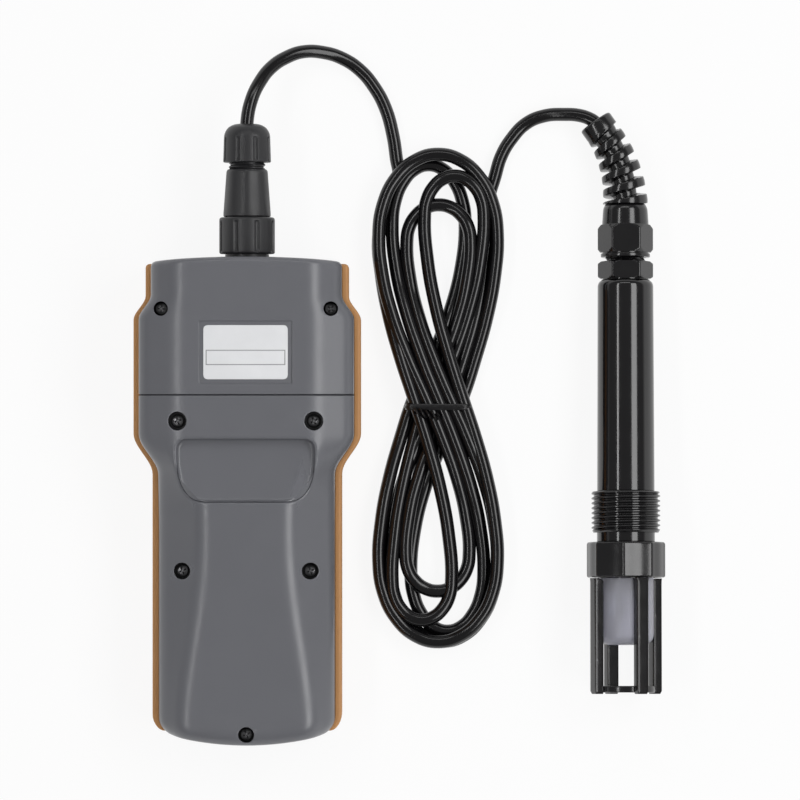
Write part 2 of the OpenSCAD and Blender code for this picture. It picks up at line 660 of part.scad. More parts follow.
module plug_insert() color([0.5, 0.5, 0.5]) on_plug() difference() {
    union() {
        translate([0, 0, flange_l + 1.3]) cylinder(r = socket_well_r - 0.2, h = ring_t + ring_step + fit - flange_l - 1.3);
        translate([0, 0, ring_t + ring_step - 0.6]) cylinder(r = 4.3, h = 8);
    }
    around(6, pin_circle_r) cylinder(r = pin_r + fit, h = 60, $fn = 24);
}
module plug_seal() color([0.08, 0.08, 0.08]) on_plug() translate([0, 0, ring_t + ring_step - 0.3]) tube(6.9, 5.8, 0.4);
module cap_nut() color([0.22, 0.22, 0.22]) on_plug() difference() {
    translate([0, 0, cap_t]) turned([
        [clamp_r + run, 0], [cap_d / 2 - 0.6, 0], [cap_d / 2, 0.6], [cap_d / 2 - 0.4, cap_l - 4],
        [cap_d / 2 - 1.2, cap_l - 1.8], [cap_d / 2 - 3, cap_l - 0.4], [cap_d / 2 - 4.4, cap_l],
        [bore_r, cap_l], [bore_r, cap_l - cap_floor], [clamp_r + run, cap_l - cap_floor]]);
    around(8, cap_d / 2 + 0.4, 22.5) translate([0, 0, cap_t + 1.2]) cylinder(r = 1, h = cap_l - 6, $fn = 32);
}
module cord_grommet() color([0.1, 0.1, 0.1]) on_plug()
    translate([0, 0, cap_t + clamp_l + 0.2]) tube(clamp_r - fit, bore_r, cap_l - cap_floor - clamp_l - 0.4);

// Free cord: two leads into a hank that lies in two loops, tied at its waist
floor_r = cord_d / 2;
meter_lead = [
    [meter_x, 97, plug_z], [meter_x, 106, plug_z], [-51.6, 113.4, 20.6], [-48.7, 119.8, 18],
    [-44.8, 125, 14.6], [-39.6, 128.7, 11.2], [-33.8, 130.8, 8.4], [-27, 130.7, 5.8],
    [-20.4, 128.8, 3.8], [-14, 124.6, 2.7], [-9, 118.6, floor_r], [-5.2, 111.4, floor_r],
    [-2.6, 102, floor_r], [-1.4, 94, floor_r], [-0.6, 87, floor_r]];
probe_lead = [
    [70.2, 103.3, 7], [68.2, 106.1, 6.9], [65.9, 107.6, 6.6], [62.5, 108.7, 6.1], [57.7, 109.1, 5.2],
    [50.1, 108.6, 3.4], [44, 106, 2.6], [39, 100.8, floor_r], [35.4, 94.8, floor_r], [33, 87, floor_r], [31, 80, floor_r]];
cord_sides = 10;
function way(p, i) = unit(p[min(i + 1, len(p) - 1)] - p[max(i - 1, 0)]);
function cord_ring(p, i) = let(t = way(p, i), s = unit(cross(t, [0, 0, 1])), u = cross(s, t))
    [for (k = [0:cord_sides - 1]) let(a = 360 * k / cord_sides) p[i] + floor_r * (cos(a) * s + sin(a) * u)];
module lead(p) loft([for (i = [0:len(p) - 1]) for (q = cord_ring(p, i)) q], cord_sides);
module cord_meter_lead() color([0.07, 0.07, 0.07]) lead(meter_lead);
module cord_probe_lead() color([0.07, 0.07, 0.07]) lead(probe_lead);
hank_x = 13.2;
hank_y = 10;
hank_widest = 57;
tie_y = -3.1;
// Half width of the hank at a distance v from its middle
function hank_w(v) = abs(v) < hank_widest
    ? hank_waist + (hank_lobe - hank_waist) * sin(90 * abs(v) / hank_widest)
    : hank_lobe * sqrt(max(0, 1 - pow((abs(v) - hank_widest) / (hank_hl - hank_widest), 2)));
hank_side = [for (a = [0:7.5:180]) let(v = -hank_hl * cos(a)) [hank_w(v), v]];
module tie_band(grow = 0) translate([hank_x, hank_y + tie_y, 0]) rotate([90, 0, 0])
    linear_extrude(tie_w + 2 * grow, center = true) difference() {
        translate([-hank_waist - 1.6 - grow, -grow]) square([2 * (hank_waist + 1.6 + grow), hank_h + 1.4 + 2 * grow]);
        translate([-hank_waist - 1.6 + tie_t + grow, tie_t + grow])
            square([2 * (hank_waist + 1.6 - tie_t - grow), hank_h + 1.4 - 2 * tie_t - 2 * grow]);
    }
module cord_hank() color([0.07, 0.07, 0.07]) difference() {
    translate([hank_x, hank_y, 0]) linear_extrude(hank_h)
        polygon(concat(hank_side, [for (i = [len(hank_side) - 2:-1:1]) [-hank_side[i][0], hank_side[i][1]]]));
    tie_band(0.05);
}
module cord_tie() color([0.05, 0.05, 0.05]) tie_band();

// Probe: strain relief, gland, tube, threaded sleeve and sensors
bend_l = bend_r * bend_angle * PI / 180;
coil_pitch = bend_l / coil_turns;
coil_core_r = 4.3;
coil_sides = 24;
coil_steps = 8;
// Centre of the bend at a length s along it, and the way out from that centre at a turn a
function bend_at(s) = let(w = min(s, bend_l) / bend_r * 180 / PI, e = max(0, s - bend_l))
    [-bend_r * (1 - cos(w)) - e * sin(w), 0, bend_t + bend_r * sin(w) + e * cos(w)];
function bend_out(s, a) = let(w = min(s, bend_l) / bend_r * 180 / PI)
    [cos(a) * cos(w), sin(a), cos(a) * sin(w)];
function frac(x) = x - floor(x);
// Radius of the coil: a strip winds round the core and narrows towards the top collar
function coil_r(s, a) = let(p = frac(s / coil_pitch - a / 360), big = coil_big_d / 2, top = coil_top_d / 2)
    s > bend_l ? top
    : coil_core_r + (big + (top - big) * s / bend_l - coil_core_r) * (step(0, 0.13, p) - step(0.5, 0.63, p));
coil_stops = concat([for (i = [0:coil_turns * coil_steps]) i * coil_pitch / coil_steps],
    [bend_l + 0.3, bend_l + top_collar_l]);
bore_stops = concat([for (i = [0:6]) i * bend_l / 6], [bend_l + top_collar_l]);
module bent_coil() {
    n = coil_sides;
    outer = [for (s = coil_stops) for (i = [0:n - 1]) let(a = 360 * i / n)
        bend_at(s) + coil_r(s, a) * bend_out(s, a)];
    inner = [for (s = bore_stops) for (i = [0:n - 1]) bend_at(s) + bore_r * bend_out(s, 360 * i / n)];
    mo = len(coil_stops);
    mi = len(bore_stops);
    function o(j, i) = j * n + i % n;
    function c(j, i) = (mo + j) * n + i % n;
    polyhedron(concat(outer, inner), concat(
        [for (j = [0:mo - 2]) for (i = [0:n - 1]) for (q = [
            [o(j, i), o(j + 1, i), o(j + 1, i + 1)], [o(j, i), o(j + 1, i + 1), o(j, i + 1)]]) q],
        [for (j = [0:mi - 2]) for (i = [0:n - 1]) for (q = [
            [c(j, i), c(j + 1, i + 1), c(j + 1, i)], [c(j, i), c(j, i + 1), c(j + 1, i + 1)]]) q],
        [for (i = [0:n - 1]) for (q = [
            [o(0, i), o(0, i + 1), c(0, i + 1)], [o(0, i), c(0, i + 1), c(0, i)],
            [o(mo - 1, i), c(mi - 1, i + 1), o(mo - 1, i + 1)], [o(mo - 1, i), c(mi - 1, i), c(mi - 1, i + 1)]]) q]), 4);
}
module strain_relief() color([0.06, 0.06, 0.06]) on_probe() {
    difference() {
        union() {
            translate([0, 0, nut_t]) cylinder(d = hex_ac, h = nut_l, $fn = 6);
            translate([0, 0, shoulder_t]) cylinder(d1 = 16.4, d2 = coil_big_d - 0.6, h = shoulder_l);
        }
        translate([0, 0, nut_t - cut]) cylinder(r = spigot_r + run, h = nut_l - nut_floor + cut);
        translate([0, 0, nut_t]) cylinder(r = bore_r + 0.3, h = nut_l + shoulder_l + cut);
    }
    bent_coil();
}
module gland_seal() color([0.12, 0.12, 0.12]) on_probe()
    translate([0, 0, nut_t + spigot_l + 0.2]) tube(spigot_r - 0.4, bore_r, nut_l - nut_floor - spigot_l - 0.4);
module gland_body() color([0.06, 0.06, 0.06]) on_probe() difference() {
    union() {
        translate([0, 0, hex_t]) cylinder(d = hex_ac, h = gland_hex_l, $fn = 6);
        translate([0, 0, gap_t - cut]) cylinder(r = spigot_r, h = nut_t - gap_t + spigot_l + cut);
        translate([0, 0, tube_top - plug_in_l]) cylinder(r = tube_d / 2 - tube_wall - fit, h = plug_in_l + 0.4);
    }
    translate([0, 0, tube_top - plug_in_l - cut]) cylinder(r = bore_r, h = 40);
}
module probe_tube() color([0.05, 0.05, 0.05]) on_probe() translate([0, 0, sleeve_top]) turned([
    [tube_d / 2 - tube_wall, 0], [tube_d / 2 + 0.2, 0], [tube_d / 2 - 0.1, tube_l - 1.2],
    [tube_d / 2 - 0.5, tube_l - 0.4], [tube_d / 2 - 1.3, tube_l], [tube_d / 2 - tube_wall, tube_l]]);
oring_y = -4;
module threaded_sleeve() color([0.05, 0.05, 0.05]) on_probe() turned([
    [carrier_r + 0.1, -collar_l + 0.4], [neck_r - 0.3, -collar_l + 0.4], [neck_r, -collar_l + 0.8],
    [neck_r, oring_y - 1], [neck_r - 1.1, oring_y - 1], [neck_r - 1.1, oring_y + 1], [neck_r, oring_y + 1],
    [neck_r, 0.1], [undercut_d / 2, 0.1], [undercut_d / 2, undercut_l], [thread_d / 2, undercut_l],
    [thread_d / 2, sleeve_top - fit], [tube_d / 2 - tube_wall - fit, sleeve_top - fit],
    [tube_d / 2 - tube_wall - fit, sleeve_top + 6], [carrier_r - 1.6, sleeve_top + 6],
    [carrier_r - 1.6, 2], [carrier_r + 0.1, 2]]);
module sleeve_oring() color([0.1, 0.1, 0.1]) on_probe() translate([0, 0, oring_y])
    rotate_extrude() translate([neck_r - 0.5, 0]) circle(r = 0.55);
face_y = -collar_l - 4.6;
module sensor_carrier() color([0.1, 0.1, 0.1]) on_probe() difference() {
    translate([0, 0, face_y]) cylinder(r = carrier_r, h = 1.8 - face_y);
    translate([-3, 0, face_y - cut]) cylinder(r = 3.1, h = 10);
    for (s = [-1, 1]) translate([4.4, 2.6 * s, face_y - cut]) cylinder(r = 0.85, h = 6, $fn = 24);
    translate([0, 5.6, face_y - cut]) cylinder(r = 1.35, h = 6, $fn = 32);
    translate([0, -5.6, face_y - cut]) cylinder(r = 1.25, h = 4, $fn = 32);
}
module ph_electrode() color([0.8, 0.85, 0.85]) on_probe() translate([-3, 0, face_y]) turned([
    [0, -10.4], [1.6, -10], [2.8, -8.8], [3.2, -7], [2.9, -5.4], [2.4, -4.4], [2.4, 0], [3, 0.2], [3, 9], [0, 9]]);
module conductivity_pins() color([0.75, 0.75, 0.75]) on_probe() for (s = [-1, 1])
    translate([4.4, 2.6 * s, face_y - 7]) cylinder(r = 0.8, h = 12, $fn = 24);
module temperature_tip() color([0.7, 0.7, 0.7]) on_probe() translate([0, 5.6, face_y - 5]) cylinder(r = 1.3, h = 10);
module reference_junction() color([0.85, 0.85, 0.8]) on_probe()
    translate([0, -5.6, face_y - 0.6]) cylinder(r = 1.2, h = 3.8);

// Guard: collar with eight flats, four ribs, and a ring with crossed bars at the end
guard_bore_r = neck_r + run * 1.5;
cage_bore_r = cup_d / 2 + 0.25;
module probe_guard() color([0.05, 0.05, 0.05]) on_probe() difference() {
    union() {
        translate([0, 0, -collar_l]) rotate(90 - collar_turn) cylinder(d = collar_ac, h = collar_l, $fn = 8);
        intersection() {
            for (i = [0:3]) rotate(-rib_turn + 90 * i) translate([cage_bore_r - 0.9, -rib_w / 2, -collar_l - cage_l])
                cube([rib_r, rib_w, cage_l + 1]);
            translate([0, 0, -collar_l - cage_l]) cylinder(r = rib_r, h = cage_l + 1);
        }
        translate([0, 0, -collar_l - cage_l]) tube(cage_bore_r + 0.2, 7.2, end_ring_h);
        for (a = [0, 90]) rotate(a - rib_turn) translate([-8, -1.1, -collar_l - cage_l]) cube([16, 2.2, end_ring_h]);
    }
    translate([0, 0, -collar_l - cage_l + end_ring_h]) cylinder(r = cage_bore_r, h = cage_l - end_ring_h + collar_l - 9);
    translate([0, 0, -collar_l - 1]) cylinder(r = cage_bore_r, h = collar_l + 2);
}
module storage_cup() color([0.75, 0.78, 0.85, 0.6]) on_probe() translate([0, 0, -collar_l - 0.2 - cup_l]) turned([
    [0, 0], [cup_d / 2 - 3.3, 0], [cup_d / 2 - 1.5, 0.5], [cup_d / 2 - 0.4, 1.8], [cup_d / 2, 3.4],
    [cup_d / 2, cup_l], [carrier_r + run, cup_l], [carrier_r + run, cup_l - 3.4],
    [cup_d / 2 - cup_wall, cup_l - 4], [cup_d / 2 - cup_wall, 3.6], [cup_d / 2 - cup_wall - 1, 2.2],
    [cup_d / 2 - cup_wall - 2.4, 1.4], [0, 1.4]]);

front_shell();
side_bumpers();
rear_shell();
battery_cover();
case_gasket();
cover_gasket();
id_label();
case_screws();
cover_screws();
battery_tray();
battery_cells();
battery_contacts();
main_board();
display_panel();
display_window();
keypad_mat();
key(0);  // key_1
key(1);  // key_2
key(2);  // key_3
key(3);  // key_4
key(4);  // key_5
key(5);  // key_6
buzzer();
socket_body();
socket_nut();
socket_pins();
socket_seal();
coupling_ring();
plug_body();
plug_insert();
plug_seal();
cap_nut();
cord_grommet();
cord_meter_lead();
cord_hank();
cord_probe_lead();
cord_tie();
strain_relief();
gland_seal();
gland_body();
probe_tube();
threaded_sleeve();
sleeve_oring();
sensor_carrier();
ph_electrode();
conductivity_pins();
temperature_tip();
reference_junction();
probe_guard();
storage_cup();
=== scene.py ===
"""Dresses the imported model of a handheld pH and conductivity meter, its tied cord and its probe.

Sizes are in millimetres inside the script and become metres where a mesh is made.
The meter lies face down, +Y runs from its grip towards its plug, and +Z is up.
"""
import json
import math
from types import SimpleNamespace

import bmesh
import bpy
from mathutils import Matrix, Vector


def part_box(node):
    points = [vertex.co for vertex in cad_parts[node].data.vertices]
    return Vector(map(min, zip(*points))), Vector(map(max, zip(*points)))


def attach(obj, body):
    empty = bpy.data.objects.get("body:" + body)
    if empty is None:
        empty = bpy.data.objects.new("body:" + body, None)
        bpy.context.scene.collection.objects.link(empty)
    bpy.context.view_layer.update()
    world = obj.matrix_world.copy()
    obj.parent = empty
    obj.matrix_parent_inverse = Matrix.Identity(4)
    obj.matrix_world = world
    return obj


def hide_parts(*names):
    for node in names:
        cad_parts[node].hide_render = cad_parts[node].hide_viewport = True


bl_info = {
    "name": "Water Meter Dressing",
    "version": (1, 0, 0),
    "blender": (4, 5, 0),
    "location": "3D View > Sidebar > Water Meter",
    "description": "Builds the visible pieces of a pH and conductivity meter round its packed frame",
    "category": "Object",
}

MM = 0.001
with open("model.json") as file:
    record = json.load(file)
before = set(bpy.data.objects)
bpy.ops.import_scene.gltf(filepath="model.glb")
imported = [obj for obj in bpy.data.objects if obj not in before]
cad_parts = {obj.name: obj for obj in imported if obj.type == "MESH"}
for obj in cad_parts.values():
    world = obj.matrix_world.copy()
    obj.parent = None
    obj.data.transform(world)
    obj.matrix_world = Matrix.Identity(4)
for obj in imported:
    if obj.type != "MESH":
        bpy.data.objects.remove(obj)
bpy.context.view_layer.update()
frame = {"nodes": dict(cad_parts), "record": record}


def corners(node):
    """Lowest and highest corner of a node of the frame, in millimetres."""
    low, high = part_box(node)
    return Vector(low) / MM, Vector(high) / MM


def length(name, default, about):
    return bpy.props.FloatProperty(
        name=name, description=about, default=default * MM, min=0, unit="LENGTH", precision=5)


def linear(value):
    value /= 255
    return value / 12.92 if value <= 0.04045 else ((value + 0.055) / 1.055) ** 2.4


def colour(name, red, green, blue, about):
    return bpy.props.FloatVectorProperty(
        name=name, description=about, size=3, subtype="COLOR", min=0, max=1,
        default=(linear(red), linear(green), linear(blue)))


# Sizes and colours that a user may change

class CaseSizes(bpy.types.PropertyGroup):
    case_length: length("Case length", 168.6, "From the top edge to the foot")
    head_half: length("Head half width", 35.2, "Half width at the top edge")
    shoulder_half: length("Shoulder half width", 39.4, "Half width over the shoulders")
    grip_half: length("Grip half width", 32.8, "Half width of the grip")
    band: length("Band", 2.3, "Width of the coloured band down each side")
    bumper_height: length("Bumper height", 22, "Height of the side bumpers")
    part_height: length("Shell joint height", 12, "Height of the joint between front and rear shells")
    cover_height: length("Cover joint height", 17, "Height of the joint under the battery cover")
    head_height: length("Head height", 42.5, "Height of the back over the head")
    grip_height: length("Grip height", 35, "Height of the back at the foot of the grip")
    head_edge: length("Head edge height", 36, "Height of the shoulder line over the head")
    grip_edge: length("Grip edge height", 27.5, "Height of the shoulder line over the grip")
    head_crease: length("Head crease", 23.6, "Half width of the flat over the head")
    ridge_crease: length("Ridge crease", 15, "Half width of the ridge below the finger recess")
    foot_crease: length("Foot crease", 22.3, "Half width of the ridge at the foot")
    wall: length("Wall", 2.2, "Wall thickness of the case")
    seam: length("Seam", 47.4, "Distance from the top edge to the seam")
    seam_gap: length("Seam gap", 0.3, "Gap along the seam")
    lip: length("Moulded edge", 0.35, "Radius of the moulded edges")


class RecessSizes(bpy.types.PropertyGroup):
    start: length("Recess start", 62.8, "Distance from the top edge to the finger recess")
    run: length("Recess length", 21.4, "Length of the finger recess")
    half: length("Recess half width", 23.7, "Half width of the recess at its top")
    foot_half: length("Recess foot half width", 15.2, "Half width of the recess at its foot")
    depth: length("Recess depth", 4.4, "Depth under the upper wall")
    label_width: length("Label recess width", 31.8, "Width of the label recess")
    label_length: length("Label recess length", 21.4, "Length of the label recess")
    label_place: length("Label place", 32.9, "Distance from the top edge to the label's centre")
    label_depth: length("Label recess depth", 0.5, "Depth of the label recess")
    label_margin: length("Label margin", 1.4, "Margin between the recess and the label")
    well_depth: length("Well depth", 5, "Depth of the screw heads below the back")
    screw_head: length("Screw head", 4.2, "Diameter of the screw heads")
    screw_head_height: length("Screw head height", 1.8, "Height of the screw heads")


class PlugSizes(bpy.types.PropertyGroup):
    ring: length("Ring diameter", 19.3, "Diameter of the coupling ring")
    ring_length: length("Ring length", 12.7, "Length of the coupling ring")
    body: length("Body diameter", 16.5, "Diameter of the plug body behind the ring")
    body_small: length("Body small diameter", 14, "Diameter of the plug body below the cap nut")
    body_length: length("Body length", 16.4, "Length of the tapered plug body")
    cap: length("Cap diameter", 16.6, "Diameter of the cap nut")
    cap_length: length("Cap length", 13.4, "Length of the cap nut")


class CordSizes(bpy.types.PropertyGroup):
    cord: length("Cord diameter", 4.7, "Diameter of the cord")
    lobe: length("Loop half width", 20.7, "Half width of the outermost loop of the hank")
    reach: length("Loop reach", 85.1, "Distance from the hank's middle to its outermost turn")
    waist: length("Strand spacing", 4.25, "Spacing of the strands under the tie")
    tie: length("Tie width", 2.2, "Width of the tie's band")


class ProbeSizes(bpy.types.PropertyGroup):
    tube: length("Tube diameter", 19.6, "Diameter of the tube")
    tube_length: length("Tube length", 73.7, "Length of the tube above the threaded sleeve")
    thread: length("Thread diameter", 24, "Outer diameter of the threaded sleeve")
    thread_length: length("Thread length", 14.5, "Length of the thread")
    neck: length("Neck diameter", 20.2, "Diameter of the plain neck below the thread")
    neck_length: length("Neck length", 3.2, "Length of that neck")
    hexagon: length("Hexagon across corners", 19.5, "Gland hexagon across its corners")
    hexagon_length: length("Lower hexagon length", 6, "Length of the gland's lower hexagon")
    nut_length: length("Upper nut length", 11.3, "Length of the gland's upper nut")
    shoulder_length: length("Shoulder length", 7.3, "Length of the plain shoulder above the nut")
    coil: length("Coil diameter", 15.9, "Diameter of the lowest turn of the strain relief")
    coil_top: length("Coil top diameter", 12.1, "Diameter of the top of the strain relief")
    bend: length("Bend radius", 44, "Radius of the bend in the strain relief")
    collar: length("Collar across corners", 28.1, "Guard collar across its eight corners")
    collar_length: length("Collar length", 12.4, "Length of the guard's collar")
    cage: length("Cage length", 40.4, "Length from the collar to the end of the ribs")
    rib: length("Rib reach", 13, "Outer radius of the ribs")
    rib_width: length("Rib width", 4.3, "Width of a rib")
    end_ring: length("End ring height", 2.8, "Height of the ring at the end of the cage")
    cup: length("Cup diameter", 19.3, "Outer diameter of the cup")
    cup_length: length("Cup length", 23.2, "Length of the cup")
    cup_wall: length("Cup wall", 1.3, "Wall of the cup")


class Colours(bpy.types.PropertyGroup):
    case: colour("Case", 104, 105, 110, "Moulded grey of the shells")
    band: colour("Band", 196, 142, 88, "Rubbery orange of the bumpers")
    label: colour("Label", 232, 233, 235, "Printed face of the label")
    connector: colour("Connector", 40, 40, 42, "Plug, ring and cap")
    black: colour("Black", 13, 12, 14, "Glossy black of the probe")
    cord: colour("Cord", 11, 10, 12, "Glossy black of the cord")
    cup: colour("Cup", 214, 214, 224, "Clear plastic of the storage cup")
    steel: colour("Steel", 150, 150, 152, "Screws and electrodes")
    floor: colour("Floor", 242, 242, 243, "Pale floor")


GROUPS = {
    "meter_case": CaseSizes, "meter_recess": RecessSizes, "meter_plug": PlugSizes,
    "meter_cord": CordSizes, "meter_probe": ProbeSizes, "meter_colours": Colours}


def sizes(group):
    """The sizes of a property group, in millimetres."""
    held = getattr(bpy.context.scene, group)
    return SimpleNamespace(**{key: getattr(held, key) / MM for key in type(held).__annotations__})


# Places that come from the frame

rear_low, rear_high = corners("rear_shell")
ring_low, ring_high = corners("coupling_ring")
guard_low, guard_high = corners("probe_guard")
METER_X = (rear_low.x + rear_high.x) / 2
METER_Y = rear_high.y
PLUG_Z = (ring_low.z + ring_high.z) / 2
PROBE_X = (guard_low.x + guard_high.x) / 2
COLLAR_TURN = 5
COIL_TURNS = 5
BEND_ANGLE = 35
RIB_TURN = 65
HEX_SHOULDER = 8.15
CORNER_STEPS = [0, 0.02, 0.08, 0.18, 0.32, 0.5, 0.72, 1]
BOX_CORNERS = ((-1, -1), (1, -1), (1, 1), (-1, 1))


def guard_axis():
    for joint in frame["record"]["behaviour"]["joints"]:
        if joint["name"] == "guard_off":
            return Vector(joint["axis"]).normalized()
    raise RuntimeError("The frame has no joint guard_off")


def plug_place():
    """The plug's own frame: its z runs up the plug from the case's top edge."""
    return Matrix.Translation((METER_X, METER_Y, PLUG_Z)) @ Matrix.Rotation(-math.pi / 2, 4, "X")


def probe_place():
    """The probe's own frame: its z runs up the probe from the collar's upper face."""
    reach = sizes("meter_probe").collar / 2 * math.cos(math.radians(COLLAR_TURN))
    tilt = math.asin(guard_axis().z)
    place = Vector((PROBE_X, guard_high.y - reach * math.sin(tilt), reach * math.cos(tilt)))
    return Matrix.Translation(place) @ Matrix.Rotation(-math.pi / 2 - tilt, 4, "X")


METER = Matrix.Translation((METER_X, METER_Y, 0))


# Curves and profiles

def mix(a, b, t):
    return a + (b - a) * t


def ease(a, b, t):
    """Smooth step from 0 at a to 1 at b."""
    t = min(1, max(0, (t - a) / (b - a)))
    return t * t * (3 - 2 * t)


def rounding(t, r):
    """Rounding of a corner of radius r, at a distance t from its start."""
    if t >= r:
        return 0
    return r if t <= 0 else r - math.sqrt(r * r - (r - t) ** 2)


def spread(a, b, n):
    return [mix(a, b, i / n) for i in range(1, n + 1)]


def round_angles(count):
    """Angles spread evenly over a full turn."""
    return [math.tau * k / count for k in range(count)]


def bezier(a, b, c, n):
    return [a * (1 - t) ** 2 + b * 2 * t * (1 - t) + c * t * t for t in (i / n for i in range(n + 1))]


def filleted(points, steps=4, closed=True):
    """Rounds a list of (x, y, radius) corners."""
    count = len(points)
    out = []
    for i, (x, y, radius) in enumerate(points):
        here = Vector((x, y))
        if radius == 0 or (not closed and i in (0, count - 1)):
            out.append(here)
            continue
        back = (Vector(points[i - 1][:2]) - here).normalized() * radius
        ahead = (Vector(points[(i + 1) % count][:2]) - here).normalized() * radius
        out += bezier(here + back, here, here + ahead, steps)
    return out


def rounded_box(half_width, half_length, radius, steps):
    """Outline of a rectangle about the middle, with rounded corners."""
    return filleted([(half_width * x, half_length * y, radius) for x, y in BOX_CORNERS], steps)


def divided(points, longest, closed=True):
    """Adds points so that no stretch is longer than the given one."""
    out = []
    for i, here in enumerate(points):
        out.append(here)
        if i == len(points) - 1 and not closed:
            break
        there = points[(i + 1) % len(points)]
        pieces = max(1, math.ceil((there - here).length / longest))
        out += [here.lerp(there, k / pieces) for k in range(1, pieces)]
    return out


class Shape:
    """Points in millimetres and the faces between them."""

    def __init__(self):
        self.points = []
        self.faces = []

    def grid(self, rows, closed_rows=False, closed_cols=True, ends=False):
        """Joins rows that hold the same number of points with quads."""
        base = len(self.points)
        count = len(rows[0])
        self.points += [Vector(point) for row in rows for point in row]
        for j in range(len(rows) if closed_rows else len(rows) - 1):
            after = (j + 1) % len(rows)
            for i in range(count if closed_cols else count - 1):
                beside = (i + 1) % count
                self.faces.append(tuple(base + k for k in (
                    j * count + i, j * count + beside, after * count + beside, after * count + i)))
        if ends:
            self.faces.append(tuple(base + i for i in range(count)))
            self.faces.append(tuple(base + (len(rows) - 1) * count + i for i in range(count)))
        return self

    def turned(self, profile, segments=96, form=None, closed=True):
        """Revolves (radius, height) points; form may change the radius at an angle."""
        angles = round_angles(segments)
        rows = []
        for radius, height in profile:
            row = []
            for angle in angles:
                here = form(angle, radius, height) if form else radius
                row.append((here * math.cos(angle), here * math.sin(angle), height))
            rows.append(row)
        return self.grid(rows, closed_rows=closed)

    def prism(self, outline, low, high, lip=0.0):
        """Raises a closed outline between two heights, with its edges rounded by lip."""
        steps = [0] if lip == 0 else [0, 0.1, 0.3, 0.6, 1]
        levels = [(rounding(k * lip, lip), low + k * lip) for k in steps]
        levels += [(rounding(k * lip, lip), high - k * lip) for k in reversed(steps)]
        return self.grid([
            [(p.x, p.y, z) for p in shifted(outline, -inset)] for inset, z in levels], ends=True)

    def moved(self, place):
        self.points = [place @ point for point in self.points]
        return self

    def add(self, other, place=Matrix()):
        base = len(self.points)
        self.points += [place @ point for point in other.points]
        self.faces += [tuple(base + i for i in face) for face in other.faces]
        return self

    def mesh(self, name, place=Matrix()):
        data = bpy.data.meshes.new(name)
        scaled = Matrix.Scale(MM, 4) @ place
        data.from_pydata([scaled @ point for point in self.points], [], self.faces)
        shell = bmesh.new()
        shell.from_mesh(data)
        bmesh.ops.remove_doubles(shell, verts=shell.verts, dist=1e-6)
        bmesh.ops.dissolve_degenerate(shell, edges=shell.edges, dist=1e-6)
        bmesh.ops.recalc_face_normals(shell, faces=shell.faces)
        shell.to_mesh(data)
        shell.free()
        return data


def shifted(outline, out):
    """Moves a closed counter-clockwise outline outwards."""
    if out == 0:
        return outline
    moved = []
    for i, here in enumerate(outline):
        along = (outline[(i + 1) % len(outline)] - outline[i - 1]).normalized()
        moved.append(here + Vector((along.y, -along.x)) * out)
    return moved


def linked(name, shape, place=Matrix()):
    piece = bpy.data.objects.new(name, shape.mesh(name, place))
    bpy.context.scene.collection.objects.link(piece)
    return piece


def combined(base, operation, tools):
    """Cuts the tools from base or joins them to it, and removes them."""
    for tool in tools:
        modifier = base.modifiers.new("combine", "BOOLEAN")
        modifier.operation = operation
        modifier.solver = "MANIFOLD"
        modifier.object = tool
    bpy.context.view_layer.update()
    result = bpy.data.meshes.new_from_object(base.evaluated_get(bpy.context.evaluated_depsgraph_get()))
    if not result.polygons:
        raise RuntimeError(f"{base.name} came out empty")
    base.modifiers.clear()
    base.data = result
    for tool in tools:
        bpy.data.objects.remove(tool)
    return base


def finished(piece, body, finish, replaces=(), sharp=38):
    """Shades a piece, gives it its finish and lets it ride on its body."""
    piece.data.materials.clear()
    piece.data.materials.append(bpy.data.materials[finish])
    if piece.type == "MESH":
        piece.data.shade_smooth()
        piece.data.set_sharp_from_angle(angle=math.radians(sharp))
    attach(piece, body)
    if replaces:
        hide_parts(*replaces)
    return piece


# Materials

class Wire:
    """A shader socket on which Python's operators add Math nodes."""

    def __init__(self, bench, socket):
        self.bench = bench
        self.socket = socket

    def maths(self, operation, *values):
        return self.bench.node("ShaderNodeMath", {"operation": operation}, dict(enumerate(values)))

    def __add__(self, other):
        return self.maths("ADD", self, other)

    def __sub__(self, other):
        return self.maths("SUBTRACT", self, other)

    def __rsub__(self, other):
        return self.maths("SUBTRACT", other, self)

    def __mul__(self, other):
        return self.maths("MULTIPLY", self, other)

    def __truediv__(self, other):
        return self.maths("DIVIDE", self, other)

    def __lt__(self, other):
        return self.maths("LESS_THAN", self, other)

    def __abs__(self):
        return self.maths("ABSOLUTE", self)

    def clamped(self):
        return self.bench.node("ShaderNodeClamp", {}, {0: self})

    __radd__ = __add__
    __rmul__ = __mul__


